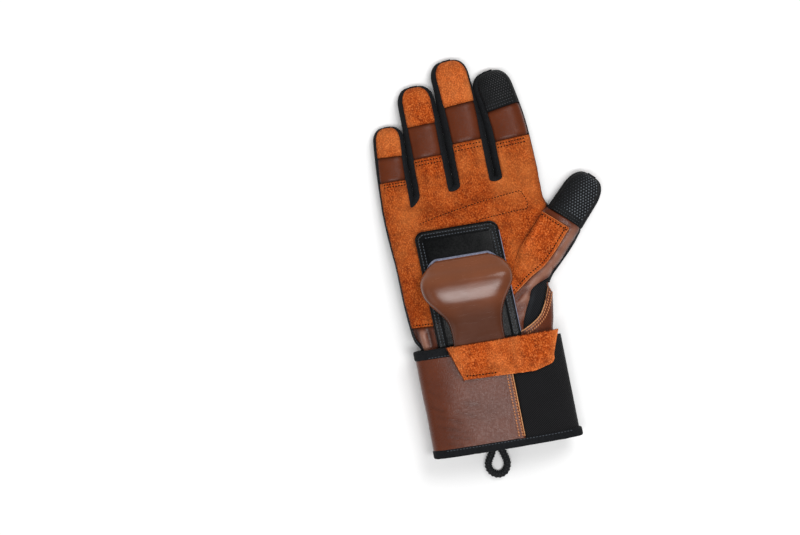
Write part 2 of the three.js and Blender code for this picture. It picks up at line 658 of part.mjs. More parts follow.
// The strap's round end, set in from its edge, from the top right corner round to the bottom right.
function strapOutline(inset, right) {
  const radius = strapEndRadius - inset;
  const corner = (y, from) => spread(from, from + Math.PI / 2, 6).map((angle) => new THREE.Vector2(
    strapEndX + strapEndRadius + radius * Math.cos(angle),
    y + radius * Math.sin(angle),
  ));
  return [
    new THREE.Vector2(right, strapTop - inset),
    ...corner(strapTop - strapEndRadius, Math.PI / 2),
    ...corner(strapBottom + strapEndRadius, Math.PI),
    new THREE.Vector2(right, strapBottom + inset),
  ];
}
const flatPlate = (outline) => new THREE.ExtrudeGeometry(
  new THREE.Shape(outline),
  { depth: strapPatchWall, bevelEnabled: false },
);
const bindingRight = strapX - 3;
addMesh('strap_binding', 'knit', flatPlate([
  ...strapOutline(0, bindingRight),
  ...strapOutline(strapBindingWidth, bindingRight).reverse(),
]));
addMesh('strap_patch', 'rubber', flatPlate(strapOutline(strapBindingWidth + seamGap, strapPatchRight)));

// Palm pad: a flat stuffed pocket on the palm, its lower end inside the cuff.
const padLaterals = [-1, -0.93, -0.5, 0, 0.5, 0.93, 1];
const padYs = [
  padBottom, ...spread(cuffLength + 2, padTop - padCornerRadius, 6),
  ...[35, 62, 90].map((angle) => padTop - padCornerRadius * (1 - Math.sin(THREE.MathUtils.degToRad(angle)))),
];
function padX(y, lateral) {
  const share = (y - padBottom) / (padTop - padBottom);
  const past = Math.max(0, y - (padTop - padCornerRadius)) / padCornerRadius;
  const half = padWidth / 2 - padCornerRadius * (1 - Math.sqrt(1 - past ** 2));
  return padCentreX + padLean * (share - 0.1) + half * lateral;
}
const palmTopZ = (x, y) => handZ(x, y, 1) + layerGap;
const padBottomGrid = padYs.map((y) => padLaterals.map((lateral) => {
  const x = padX(y, lateral);
  return new THREE.Vector3(x, y, palmTopZ(x, y));
}));
const padTopGrid = padBottomGrid.map((row, i) => row.map((p, j) => {
  const atEdge = i === padYs.length - 1 || j === 0 || j === padLaterals.length - 1;
  return new THREE.Vector3(p.x, p.y, p.z + padThickness * (atEdge ? 0.55 : 1));
}));
addMesh('splint_pad', 'padLeather', solidBetween(padTopGrid, padBottomGrid));

// Guard plate: a spoon-shaped shell that stands on the pad and runs out over the cuff's edge.
const cuffTopZ = (x, y) => cuffMid + (cuffHeight / 2 + bindingProud)
  * crown((x - cuffCentre(y)) / (cuffWidth / 2 + bindingProud), cuffRoundness);
function plateSeat(x, y) {
  const padEdge = THREE.MathUtils.clamp(x, padX(y, -0.93), padX(y, 0.93));
  const onPad = palmTopZ(padEdge, y) + padThickness;
  const onCuff = cuffTopZ(x, Math.min(y, cuffLength));
  const off = smoothstep(y, cuffLength + 2, cuffLength + 16);
  return lerp(Math.max(onPad, onCuff), onPad, off) + layerGap;
}
const plateLaterals = [-1, -0.93, -0.75, -0.4, 0, 0.4, 0.75, 0.93, 1];
const plateLength = plateTop - plateBottom;
function plateSize(y, column) {
  return tableAt(plateSections, 'along', (y - plateBottom) / plateLength, column);
}
const plateX = (y, lateral) => plateWidth
  * lerp(plateSize(y, 'left'), plateSize(y, 'right'), (lateral + 1) / 2);
function platePoint(y, lateral) {
  const seat = lerp(plateSeat(plateX(y, -1), y), plateSeat(plateX(y, 1), y), (lateral + 1) / 2);
  const z = seat + plateWall + plateHump * plateSize(y, 'hump') * crown(lateral, 2.1);
  return new THREE.Vector3(plateX(y, lateral), y, z);
}
const plateYs = plateSections.map((section) => lerp(plateBottom, plateTop, section.along));
addMesh('guard_plate', 'plate', wall(
  plateYs.map((y) => plateLaterals.map((lateral) => platePoint(y, lateral))),
  plateWall,
));

// Suede flap over the plate's lower end, lying down on the cuff at its sides and lower edge.
const flapLift = plateWall + layerGap + plateHump * plateSections[0].hump;
const flapMargin = 6;
const flapLaterals = [-1, -0.82, -0.62, -0.3, 0, 0.2, 0.36, 0.55, 0.78, 0.9, 1];
const flapYs = flapSections.map((section) => lerp(flapBottom, flapTop, section.along));
const flapGrid = flapYs.map((y) => flapLaterals.map((lateral) => {
  const share = (y - flapBottom) / (flapTop - flapBottom);
  const left = tableAt(flapSections, 'along', share, 'left') * flapWidth;
  const right = tableAt(flapSections, 'along', share, 'right') * flapWidth;
  const x = lerp(left, right, (lateral + 1) / 2);
  const overPlate = smoothstep(x, plateX(plateBottom, -1) - flapMargin, plateX(plateBottom, -1))
    * smoothstep(-x, -plateX(plateBottom, 1) - flapMargin, -plateX(plateBottom, 1));
  const lift = flapLift * overPlate * smoothstep(y, flapBottom + 1, plateBottom - 1.5);
  return new THREE.Vector3(x, y, cuffTopZ(x, y) + layerGap + flapWall + lift);
}));
addMesh('suede_flap', 'suede', wall(flapGrid, flapWall));

// The origin is under the middle of the glove. The loose loop doesn't count in its box.
const box = new THREE.Box3().setFromObject(group);
group.position.set(-(box.min.x + box.max.x) / 2, -(box.min.y + box.max.y) / 2, -box.min.z);

// Pull loop
const loopCurve = new THREE.CatmullRomCurve3(loopRoute.map((p) => new THREE.Vector3(...p)));
const cordSection = new THREE.Shape(spread(0, 1, 8).slice(0, 8).map((share) => new THREE.Vector2(
  Math.cos(share * 2 * Math.PI) * loopCord / 2,
  Math.sin(share * 2 * Math.PI) * loopCord / 2,
)));
addMesh('pull_loop', 'knit', new THREE.ExtrudeGeometry(cordSection, {
  steps: 30,
  extrudePath: loopCurve,
  bevelEnabled: false,
}));

export default group;
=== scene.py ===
import math
import random

import bmesh
import bpy
import numpy as np
from mathutils import Matrix, Vector, noise
from mathutils.bvhtree import BVHTree


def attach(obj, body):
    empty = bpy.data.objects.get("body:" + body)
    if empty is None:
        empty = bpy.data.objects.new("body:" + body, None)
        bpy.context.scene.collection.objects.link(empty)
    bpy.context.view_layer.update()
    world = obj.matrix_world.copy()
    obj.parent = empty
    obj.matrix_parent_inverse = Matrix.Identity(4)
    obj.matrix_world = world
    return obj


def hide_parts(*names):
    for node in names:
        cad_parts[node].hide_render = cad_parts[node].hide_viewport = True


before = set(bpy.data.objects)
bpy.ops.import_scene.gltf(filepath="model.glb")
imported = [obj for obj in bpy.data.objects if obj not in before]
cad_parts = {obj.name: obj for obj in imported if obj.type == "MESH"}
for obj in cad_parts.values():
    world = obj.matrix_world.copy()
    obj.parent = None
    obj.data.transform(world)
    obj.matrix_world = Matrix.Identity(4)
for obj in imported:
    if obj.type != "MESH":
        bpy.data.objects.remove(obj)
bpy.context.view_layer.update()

# The pieces are shaped in millimetres with the origin in the middle of the cuff's lower edge,
# and moved by this into the frame's own place.
shift = Vector((-17.2867, -129.5664, 0.0))
random.seed(7)


def lerp(a, b, t):
    return a + (b - a) * t


def clamp(value, low=0.0, high=1.0):
    return min(max(value, low), high)


def smoothstep(value, low, high):
    t = clamp((value - low) / (high - low))
    return t * t * (3 - 2 * t)


def spread(start, end, steps):
    return [lerp(start, end, i / steps) for i in range(steps + 1)]


# Smooth curve through a list of points, read at a share of its length
def curveThrough(points, share):
    spans = len(points) - 1
    at = clamp(share) * spans
    i = min(int(at), spans - 1)
    t = at - i
    a = points[max(i - 1, 0)]
    b = points[i]
    c = points[i + 1]
    d = points[min(i + 2, spans)]
    return 0.5 * (2 * b + (c - a) * t + (2 * a - 5 * b + 4 * c - d) * t * t
                  + (3 * b - a - 3 * c + d) * t ** 3)


def splineLine(points, step):
    dense = [curveThrough(points, i / 400) for i in range(401)]
    lengths = [0.0]
    for a, b in zip(dense, dense[1:]):
        lengths.append(lengths[-1] + (b - a).length)
    count = max(1, round(lengths[-1] / step))
    line = []
    k = 0
    for i in range(count + 1):
        want = lengths[-1] * i / count
        while k < 399 and lengths[k + 1] < want:
            k += 1
        t = (want - lengths[k]) / max(lengths[k + 1] - lengths[k], 1e-9)
        line.append(dense[k].lerp(dense[k + 1], clamp(t)))
    return line


def tableAt(table, at, column):
    i = 0
    while i < len(table) - 2 and at > table[i + 1][0]:
        i += 1
    before = table[max(i - 1, 0)]
    a = table[i]
    b = table[i + 1]
    after = table[min(i + 2, len(table) - 1)]
    span = b[0] - a[0]
    t = clamp((at - a[0]) / span)
    slopeA = (b[column] - before[column]) / (b[0] - before[0]) * span
    slopeB = (after[column] - a[column]) / (after[0] - a[0]) * span
    t2 = t * t
    t3 = t2 * t
    return ((2 * t3 - 3 * t2 + 1) * a[column] + (t3 - 2 * t2 + t) * slopeA
            + (3 * t2 - 2 * t3) * b[column] + (t3 - t2) * slopeB)


def crown(lateral, roundness):
    side = min(abs(lateral), 1.0)
    return (1 - side ** roundness) ** (1 / roundness)


def softMax(a, b):
    return (a ** 6 + b ** 6) ** (1 / 6)


def signedPower(value, power):
    return math.copysign(abs(value) ** power, value)


# Direction of a line at one of its points
def tangentAt(line, k):
    return line[min(k + 1, len(line) - 1)] - line[max(k - 1, 0)]


def nearestOn(line, point):
    return min(range(len(line)), key=lambda k: (line[k] - point).length)


# Sizes of the glove, in millimetres
cuff = {
    "length": 72, "width": 98.5, "height": 31.5, "wall": 3, "lean": 2.3, "roundness": 2.6,
    "hem": 5.8, "topBinding": 6.6, "proud": 0.4, "seamX": 11.6, "gap": 0.4, "seamGap": 0.35,
}
strap = {
    "width": 59.5, "wall": 2.4, "patchWall": 1.2, "endRadius": 21, "binding": 4.2,
    "overlap": 17, "patchRight": 24, "bottom": 0.4,
}
hand = {
    "width": 105, "length": 105, "height": 28, "tuck": 9.5, "strip": 0.72, "forkDip": 4.6,
    "seamLow": 0.35, "seamHigh": 0.63,
}
thumb = {"width": 27.2, "height": 22.6, "angle": 47.4, "length": 33}
strapLow = strap["patchWall"] + cuff["gap"]
cuffLow = strapLow + strap["wall"] + cuff["gap"] + cuff["proud"]
cuffMid = cuffLow + cuff["height"] / 2
wrist = cuff["width"] / hand["width"]

# Sections of the hand: along, left, right, low, mid, high, square
handSections = [
    (-0.1, -0.458 * wrist, 0.437 * wrist, 0.33, 0.62, 0.97, 2.3),
    (0.01, -0.46 * wrist, 0.438 * wrist, 0.33, 0.62, 0.98, 2.3),
    (0.07, -0.465, 0.425, 0.2, 0.58, 1.0, 2.8),
    (0.16, -0.48, 0.438, 0.06, 0.52, 1.03, 3.4),
    (0.28, -0.492, 0.455, 0, 0.45, 1.03, 4),
    (0.5, -0.507, 0.48, 0, 0.42, 1.0, 4),
    (0.74, -0.525, 0.49, 0, 0.4, 0.91, 4),
    (0.88, -0.532, 0.487, 0, 0.37, 0.79, 4),
    (1.0, -0.533, 0.485, 0, 0.34, 0.7, 4),
]
columnOf = {"left": 1, "right": 2, "low": 3, "mid": 4, "high": 5, "square": 6}


def onHand(across, along):
    return Vector((across * hand["width"], cuff["length"] + along * hand["length"]))


def alongHand(y):
    return (y - cuff["length"]) / hand["length"]


def handSize(y, name, size):
    return tableAt(handSections, alongHand(y), columnOf[name]) * size


def sideX(y, name):
    return handSize(y, name, hand["width"])


# Fingers: name, across, along, length, bend, tipShift, width, height
fingerLength = 82
fingerHeight = 19
fingerTable = [
    ("little", -0.426, 0.905, 0.659, 0.002, 0.018, 0.212, 0.895),
    ("ring", -0.188, 0.967, 0.866, -0.011, -0.027, 0.251, 0.974),
    ("middle", 0.076, 0.99, 1.0, -0.02, -0.068, 0.259, 1.0),
    ("index", 0.35, 1.005, 0.841, -0.026, -0.105, 0.269, 1.0),
]
fingers = [{
    "name": name, "root": onHand(across, along), "length": length * fingerLength,
    "bend": bend * fingerLength, "tipShift": tipShift * fingerLength,
    "width": width * hand["width"], "height": height * fingerHeight, "mid": height * fingerHeight / 2,
} for name, across, along, length, bend, tipShift, width, height in fingerTable]

thumbRoot = onHand(0.596, 0.673)
thumbEdge = [onHand(*p) for p in [(0.421, 0.286), (0.453, 0.343), (0.518, 0.41), (0.587, 0.481),
                                  (0.642, 0.548)]]
thumbForward = Vector((math.cos(math.radians(thumb["angle"])), math.sin(math.radians(thumb["angle"]))))
thumbAcross = Vector((thumbForward.y, -thumbForward.x))
thumbMid = hand["height"] * 0.41


# Height of the palm side (1) or the back (-1) of the hand
def handZ(x, y, side):
    left = sideX(y, "left")
    right = sideX(y, "right")
    mid = handSize(y, "mid", hand["height"])
    low = max(0, handSize(y, "low", hand["height"]))
    reach = handSize(y, "high", hand["height"]) - mid if side > 0 else mid - low
    lateral = (x - (left + right) / 2) / ((right - left) / 2)
    fromThumb = Vector((x, y)) - thumbRoot
    thumbLateral = fromThumb.dot(thumbAcross) / (thumb["width"] / 2)
    fade = smoothstep(fromThumb.dot(thumbForward), -hand["length"] * 0.42, -hand["length"] * 0.2)
    thumbReach = thumb["height"] - thumbMid if side > 0 else thumbMid
    body = reach * crown(lateral, 2.6 if side > 0 else handSize(y, "square", 1))
    return max(mid + side * softMax(body, thumbReach * fade * crown(thumbLateral, 2.4)), 0)


# How far a finger has turned into its tip at a share of its length
def tipTurn(share, width, length):
    return max(0, 1 - (1 - share) * length / (width / 2))


def halfAt(share, width, length):
    return width / 2 * (1 - 0.08 * share) * math.sqrt(1 - 0.9 * tipTurn(share, width, length) ** 2)


# A finger or the thumb: the point at a share of its length and a share of its half width
def makeDigit(root, forward, length, width, height, mid, bend=0, tipShift=0, name=""):
    across = Vector((forward.y, -forward.x))
    ends = [root, root + forward * length * 0.5 + across * bend, root + forward * length + across * tipShift]

    def pointAt(share, lateral, side):
        ahead = curveThrough(ends, min(share + 0.01, 1))
        tangent = (ahead - curveThrough(ends, max(share - 0.01, 0))).normalized()
        tall = height / 2 * (1 - 0.16 * share) * math.sqrt(1 - 0.94 * tipTurn(share, width, length) ** 2)
        at = curveThrough(ends, share)
        at += Vector((tangent.y, -tangent.x)) * halfAt(share, width, length) * lateral
        return Vector((at.x, at.y, mid * (1 - 0.16 * share) + side * tall * crown(lateral, 2.4)))

    return pointAt


digits = [makeDigit(forward=Vector((0, 1)), **finger) for finger in fingers]
thumbDigit = makeDigit(thumbRoot, thumbForward, thumb["length"], thumb["width"], thumb["height"], thumbMid)

def addToScene(name, data):
    made = bpy.data.objects.new(name, data)
    bpy.context.scene.collection.objects.link(made)
    return made


# The camera looks straight down, with the glove leaning as it was laid
view = {
    "sensor": 36, "away": 1.5, "wide": 0.528, "farEnd": 20, "spot": (-0.0674, -0.0011, 1.52), "lean": -9.5,
}


def makeCamera():
    data = bpy.data.cameras.new("camera")
    data.sensor_width = view["sensor"]
    data.lens = view["sensor"] * view["away"] / view["wide"]
    data.clip_end = view["farEnd"]
    camera = addToScene("camera", data)
    camera.location = view["spot"]
    camera.rotation_euler = (0, 0, math.radians(view["lean"]))
    bpy.context.scene.camera = camera


makeCamera()

# Colours and material nodes


def rgb(red, green, blue):
    def linear(value):
        value = value / 255
        return value / 12.92 if value <= 0.04045 else ((value + 0.055) / 1.055) ** 2.4
    return (linear(red), linear(green), linear(blue), 1)


def scaled(color, factor):
    return tuple(c * factor for c in color[:3]) + (1,)


def newMaterial(name, **inputs):
    mat = bpy.data.materials.new(name)
    mat.use_nodes = True
    shader = mat.node_tree.nodes["Principled BSDF"]
    for key, value in inputs.items():
        shader.inputs[key.replace("_", " ")].default_value = value
    return mat, mat.node_tree, shader


def node(tree, kind, links=None, **settings):
    made = tree.nodes.new(kind)
    for key, value in settings.items():
        setattr(made, key, value)
    for key, value in (links or {}).items():
        if isinstance(value, bpy.types.NodeSocket):
            tree.links.new(value, made.inputs[key])
        else:
            made.inputs[key].default_value = value
    return made


def place(tree, scale=(1, 1, 1), turn=(0, 0, 0)):
    coords = node(tree, "ShaderNodeTexCoord").outputs["Object"]
    return node(tree, "ShaderNodeMapping", {"Vector": coords, "Scale": scale, "Rotation": turn}).outputs[0]


def noiseOf(tree, where, scale, detail=3.0, rough=0.5, distortion=0.0):
    return node(tree, "ShaderNodeTexNoise", {
        "Vector": where, "Scale": scale, "Detail": detail, "Roughness": rough, "Distortion": distortion,
    }).outputs["Fac"]


def ramp(tree, value, stops):
    made = node(tree, "ShaderNodeValToRGB", {"Fac": value})
    elements = made.color_ramp.elements
    while len(elements) < len(stops):
        elements.new(0.5)
    for element, (at, color) in zip(elements, stops):
        element.position = at
        element.color = color if isinstance(color, tuple) else (color, color, color, 1)
    return made.outputs["Color"]


def mixColor(tree, share, a, b, mode="MIX"):
    made = node(tree, "ShaderNodeMix", {0: share}, data_type="RGBA", blend_type=mode)
    for socket, value in ((6, a), (7, b)):
        if isinstance(value, bpy.types.NodeSocket):
            tree.links.new(value, made.inputs[socket])
        else:
            made.inputs[socket].default_value = value
    return made.outputs[2]


# Lays other colours over a colour, each where its value passes from the low stop to the high one
def layered(tree, color, layers):
    for value, low, high, other in layers:
        color = mixColor(tree, ramp(tree, value, [low, high]), color, other)
    return color


def multiplied(tree, share, color, value, low, high):
    return mixColor(tree, share, color, ramp(tree, value, [low, high]), "MULTIPLY")


def attribute(tree, name):
    return node(tree, "ShaderNodeAttribute", attribute_name=name).outputs["Fac"]


def bumpChain(tree, shader, layers):
    normal = None
    for height, strength, distance in layers:
        links = {"Height": height, "Strength": strength, "Distance": distance}
        if normal:
            links["Normal"] = normal
        normal = node(tree, "ShaderNodeBump", links).outputs[0]
    tree.links.new(normal, shader.inputs["Normal"])


def setColor(tree, shader, color, roughness=None):
    tree.links.new(color, shader.inputs["Base Color"])
    if roughness:
        tree.links.new(roughness, shader.inputs["Roughness"])


# Grained leather: pebbles, fine pores, slow colour change, with painted shade in creases and a painted
# greyish highlight on ridges, both from the "shade" attribute
def leatherMaterial(name, light, dark, grain, roughness, scale=1150, gloss=0.19):
    mat, tree, shader = newMaterial(name, Specular_IOR_Level=gloss)
    where = place(tree)
    slow = noiseOf(tree, where, 55, 4, 0.55)
    fine = noiseOf(tree, where, 900, 2, 0.6)
    shade = attribute(tree, "shade")
    color = layered(tree, rgb(*dark), [(slow, (0.2, 0.15), (0.8, 0.95), rgb(*light))])
    color = multiplied(tree, 0.4, color, fine, (0.3, 0.5), (0.7, 1.0))
    # painted shade where the shade attribute is low, a painted highlight where it is high
    color = layered(tree, color, [
        (shade, (0.18, 0.75), (0.5, 0.0), scaled(rgb(*dark), 0.35)),
        (shade, (0.54, 0.0), (0.95, 0.6), rgb(160, 116, 98)),
    ])
    pebble = node(tree, "ShaderNodeTexVoronoi", {"Vector": where, "Scale": scale, "Randomness": 0.9},
                  feature="DISTANCE_TO_EDGE").outputs["Distance"]
    pebble = ramp(tree, pebble, [(0.0, 0.0), (0.22, 1.0)])
    setColor(tree, shader, color, ramp(tree, fine, [(0.3, roughness + 0.1), (0.7, roughness - 0.06)]))
    bumpChain(tree, shader, [
        (noiseOf(tree, where, 240, 3, 0.55), 0.08, 0.0003),
        (pebble, grain, 0.0001),
        (fine, grain * 0.5, 0.00008),
    ])
    return mat


# Suede: short matted nap, blotched where it is brushed, with painted shade in folds and along seams, and
# paler where the shade attribute is high: partly each piece's own tone, partly a painted highlight on ridges
def suedeMaterial(name):
    mat, tree, shader = newMaterial(name, Roughness=0.95, Sheen_Weight=0.05, Sheen_Roughness=0.5,
                                    Specular_IOR_Level=0.1, Sheen_Tint=rgb(255, 190, 130))
    where = place(tree)
    nap = noiseOf(tree, place(tree, (1, 0.7, 1), (0, 0, 0.5)), 1350, 3, 0.66, 0.1)
    fine = noiseOf(tree, where, 2300, 2, 0.6)
    blotch = noiseOf(tree, where, 230, 4, 0.6, 0.15)
    brushed = noiseOf(tree, place(tree, (1, 0.6, 1), (0, 0, 0.3)), 45, 3, 0.5)
    shade = attribute(tree, "shade")
    color = ramp(tree, blotch, [(0.3, rgb(132, 46, 7)), (0.5, rgb(164, 64, 13)), (0.7, rgb(180, 76, 19))])
    color = layered(tree, color, [
        (nap, (0.36, 0.8), (0.52, 0.0), rgb(84, 31, 8)),
        (nap, (0.52, 0.0), (0.66, 0.6), rgb(222, 132, 66)),
    ])
    color = multiplied(tree, 0.5, color, fine, (0.3, 0.45), (0.65, 1.0))
    # painted shade where the shade attribute is low
    color = layered(tree, color, [
        (brushed, (0.42, 0.0), (0.72, 0.4), rgb(204, 120, 60)),
        (shade, (0.1, 0.8), (0.5, 0.0), rgb(84, 32, 9)),
    ])
    # paler where the shade attribute is high: each piece's tone and pale cut edges, and a painted highlight
    # on lumps and ridges
    pale = ramp(tree, shade, [(0.5, 0.0), (0.95, 1.0)])
    setColor(tree, shader, mixColor(tree, pale, color, (1.8, 2.0, 2.6, 1), "MULTIPLY"))
    bumpChain(tree, shader, [(blotch, 0.35, 0.0004), (nap, 0.6, 0.0003)])
    return mat


# Black cloths: a knit of small cells, or ribs in one direction, with a painted highlight on the raised cells
# and ribs and painted shade in their hollows; the shade attribute adds painted shade and painted highlight
def clothMaterial(name, color, pitchMm, turn, depth, roughness=0.85, ribs=False):
    color = rgb(*color)
    mat, tree, shader = newMaterial(name, Roughness=roughness, Sheen_Weight=0.02, Sheen_Roughness=0.4,
                                    Specular_IOR_Level=0.12)
    where = place(tree, turn=(0, 0, turn))
    if ribs:
        height = node(tree, "ShaderNodeTexWave", {
            "Vector": where, "Scale": 500 / pitchMm, "Distortion": 0.25, "Detail": 1.0, "Detail Scale": 4.0,
        }, bands_direction="X").outputs["Fac"]
    else:
        cells = {"Vector": where, "Scale": 1000 / pitchMm, "Randomness": 0.55}
        height = node(tree, "ShaderNodeTexVoronoi", cells, feature="SMOOTH_F1").outputs["Distance"]
        height = ramp(tree, height, [(0.1, 1.0), (0.75, 0.0)])
    fuzz = noiseOf(tree, where, 2200, 2, 0.6)
    slow = noiseOf(tree, where, 60, 3, 0.5)
    shade = attribute(tree, "shade")
    setColor(tree, shader, layered(tree, color, [
        (slow, (0.35, 0.0), (0.7, 0.5), scaled(color, 1.9)),
        # painted highlight on raised cells and ribs, painted shade in their hollows
        (height, (0.45, 0.0), (0.95, 0.8), scaled(color, 3.6)),
        (height, (0.0, 0.7), (0.4, 0.0), scaled(color, 0.3)),
        # painted shade, near black, where the shade attribute is low, and a painted highlight where it is
        # high
        (shade, (0.1, 0.7), (0.5, 0.0), (0.001, 0.001, 0.001, 1)),
        (shade, (0.52, 0.0), (0.75, 0.8), scaled(color, 4)),
    ]))
    bumpChain(tree, shader, [(height, depth, 0.0003), (fuzz, 0.3, 0.00015)])
    return mat


# The guard plate: smooth moulded brown, with painted shade down its stem and a painted highlight over its
# upper part, both from the shade attribute
def plateMaterial(name):
    mat, tree, shader = newMaterial(name, Specular_IOR_Level=0.3)
    where = place(tree)
    slow = noiseOf(tree, where, 38, 4, 0.6)
    scuff = noiseOf(tree, place(tree, (0.25, 1, 1), (0, 0, -0.12)), 420, 3, 0.6)
    shade = attribute(tree, "shade")
    color = layered(tree, rgb(92, 48, 27), [
        (slow, (0.3, 0.0), (0.7, 1.0), rgb(110, 60, 37)),
        (scuff, (0.62, 0.0), (0.8, 0.12), rgb(140, 92, 66)),
        # painted shade on the stem and painted light on the upper part
        (shade, (0.2, 1.0), (0.5, 0.0), rgb(66, 32, 17)),
        (shade, (0.5, 0.0), (0.8, 1.0), rgb(136, 84, 58)),
    ])
    setColor(tree, shader, color, ramp(tree, scuff, [(0.3, 0.22), (0.75, 0.29)]))
    bumpChain(tree, shader, [(slow, 0.05, 0.0006), (noiseOf(tree, where, 1300, 2, 0.6), 0.06, 0.0001)])
    return mat


# Two colours mixed by noise, for linings, rubber, threads and cut edges
def plainMaterial(name, color, other, roughness, scale, bump=0.2, **inputs):
    mat, tree, shader = newMaterial(name, Roughness=roughness, **inputs)
    value = noiseOf(tree, place(tree), scale, 4, 0.6)
    setColor(tree, shader, layered(tree, rgb(*color), [(value, (0.35, 0.0), (0.68, 1.0), rgb(*other))]))
    bumpChain(tree, shader, [(value, bump, 0.0002)])
    return mat


brownLeather = leatherMaterial("brown leather", (102, 50, 29), (82, 38, 22), 0.32, 0.27, gloss=0.21)
backLeather = leatherMaterial("brown leather back", (114, 60, 38), (90, 45, 28), 0.24, 0.29)
blackLeather = leatherMaterial("black leather", (13, 14, 15), (7, 8, 9), 0.2, 0.26, 900, 0.09)
fingerLeather = leatherMaterial("brown leather fingers", (104, 50, 28), (82, 38, 21), 0.22, 0.25, gloss=0.09)
suede = suedeMaterial("suede")
mouldedPlate = plateMaterial("moulded brown plate")
knit = clothMaterial("black knit", (17, 18, 20), 0.55, 0.2, 0.5)
twill = clothMaterial("black twill elastic", (15, 15, 16), 1.7, 0.9, 0.9, 0.75, ribs=True)
ribCloth = clothMaterial("black rib", (17, 18, 20), 1.8, -0.5, 0.9, 0.8, ribs=True)
cordCloth = clothMaterial("black cord", (22, 23, 25), 0.6, 0.3, 0.4, 0.6)
binding = clothMaterial("black binding", (15, 16, 18), 0.45, 0.4, 0.5)
gripCloth = clothMaterial("black grip cloth", (14, 15, 16), 0.6, 0.7, 0.45, 0.7)
lining = plainMaterial("lining", (20, 20, 22), (12, 12, 13), 0.9, 700, Specular_IOR_Level=0.1)
rubber = plainMaterial("black rubber", (18, 19, 21), (12, 13, 14), 0.45, 900, 0.08, Coat_Weight=0.1,
                       Coat_Roughness=0.2)
gripDots = plainMaterial("grip dots", (88, 94, 102), (50, 54, 60), 0.4, 1400, 0.1)
darkDots = plainMaterial("dark grip dots", (38, 40, 43), (20, 21, 23), 0.4, 1400, 0.1)
rawEdge = plainMaterial("raw leather edge", (214, 160, 112), (150, 88, 50), 0.9, 1300, 0.5)
suedeEdge = plainMaterial("raw suede edge", (206, 124, 66), (160, 78, 30), 0.95, 1500, 0.6)
lilacEdge = plainMaterial("lilac edge", (132, 135, 154), (92, 95, 112), 0.85, 900, 0.4,
                          Specular_IOR_Level=0.2)
orangeThread = plainMaterial("orange thread", (210, 140, 90), (150, 84, 44), 0.6, 2600, 0.4)
blackThread = plainMaterial("dark thread", (40, 22, 14), (14, 9, 7), 0.8, 2600, 0.4, Specular_IOR_Level=0.08)
darkThread = plainMaterial("black thread", (52, 55, 60), (22, 24, 27), 0.5, 2600, 0.4)
greyThread = plainMaterial("grey thread", (78, 86, 96), (32, 36, 41), 0.55, 2600, 0.4)
print("materials made")

# Mesh helpers


# A grid of columns and rows laid out by placeAt, which may give a shade with a point
def gridMesh(columns, rows, placeAt, keep=None):
    bm = bmesh.new()
    bmesh.ops.create_grid(bm, x_segments=columns, y_segments=rows, size=1)
    shade = bm.verts.layers.float.new("shade")
    where = {}
    for v in bm.verts:
        where[v] = (round((v.co.x + 1) / 2 * columns), round((v.co.y + 1) / 2 * rows))
        v[shade] = 0.5
    if keep:
        gone = [face for face in bm.faces if not keep(min(where[v][0] for v in face.verts),
                                                      min(where[v][1] for v in face.verts))]
        bmesh.ops.delete(bm, geom=gone, context="FACES")
    for v in bm.verts:
        at = placeAt(*where[v])
        if isinstance(at, tuple):
            at, v[shade] = at
        v.co = at
    bm.normal_update()
    return bm


# Gives a sheet its inner side and its rim
def thicken(bm, inner, rimMaterial=0, innerMaterial=0):
    bm.normal_update()
    outside = list(bm.verts)
    faces = list(bm.faces)
    rim = []
    for edge in bm.edges:
        if edge.is_boundary:
            loop = edge.link_loops[0]
            rim.append((loop.vert, loop.link_loop_next.vert))
    shade = bm.verts.layers.float["shade"]
    copies = {}
    for v in outside:
        copies[v] = bm.verts.new(inner(v) if callable(inner) else v.co - v.normal * inner)
        copies[v][shade] = v[shade]
    for face in faces:
        bm.faces.new([copies[v] for v in reversed(face.verts)]).material_index = innerMaterial
    for a, b in rim:
        bm.faces.new([b, a, copies[a], copies[b]]).material_index = rimMaterial


# Joins a tube's seam, closes its ends and turns its faces outward
def closeTube(bm):
    bmesh.ops.remove_doubles(bm, verts=bm.verts, dist=1e-4)
    bmesh.ops.holes_fill(bm, edges=[e for e in bm.edges if e.is_boundary])
    bmesh.ops.recalc_face_normals(bm, faces=bm.faces)


def addObject(name, mesh, materials):
    for mat in materials:
        mesh.materials.append(mat)
    piece = addToScene(name, mesh)
    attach(piece, "root")
    return piece


def makePiece(bm, name, materials):
    for v in bm.verts:
        v.co = (v.co + shift) * 0.001
    for face in bm.faces:
        face.smooth = True
    mesh = bpy.data.meshes.new(name)
    bm.to_mesh(mesh)
    bm.free()
    return addObject(name, mesh, materials)


# A piece that stands for the solid of the same name
def makeSkin(bm, name, materials):
    piece = makePiece(bm, name + "_skin", materials)
    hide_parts(name)
    return piece


# Thickens a sheet into a skin, and hands back the bare sheet for stitches to lie on
def makeSheet(bm, name, inner, materials, rimMaterial=1, innerMaterial=2):
    bm.normal_update()
    sheet = bm.copy()
    thicken(bm, inner, rimMaterial, innerMaterial)
    makeSkin(bm, name, materials)
    return sheet


def makeTube(bm, name):
    closeTube(bm)
    surface = bm.copy()
    makeSkin(bm, name, (binding,))
    return surface


# Copies of one small form, joined into one mesh
def scatter(name, template, matrices, mat):
    points = np.array([tuple(v.co) + (1,) for v in template.verts])
    faces = [[v.index for v in face.verts] for face in template.faces]
    allPoints = []
    allFaces = []
    for matrix in matrices:
        allFaces.extend([[len(allPoints) + i for i in face] for face in faces])
        moved = points @ np.array(matrix).T
        allPoints.extend((moved[:, :3] + np.array(shift)) * 0.001)
    mesh = bpy.data.meshes.new(name)
    mesh.from_pydata([tuple(p) for p in allPoints], [], allFaces)
    mesh.polygons.foreach_set("use_smooth", [True] * len(mesh.polygons))
    addObject(name, mesh, (mat,))


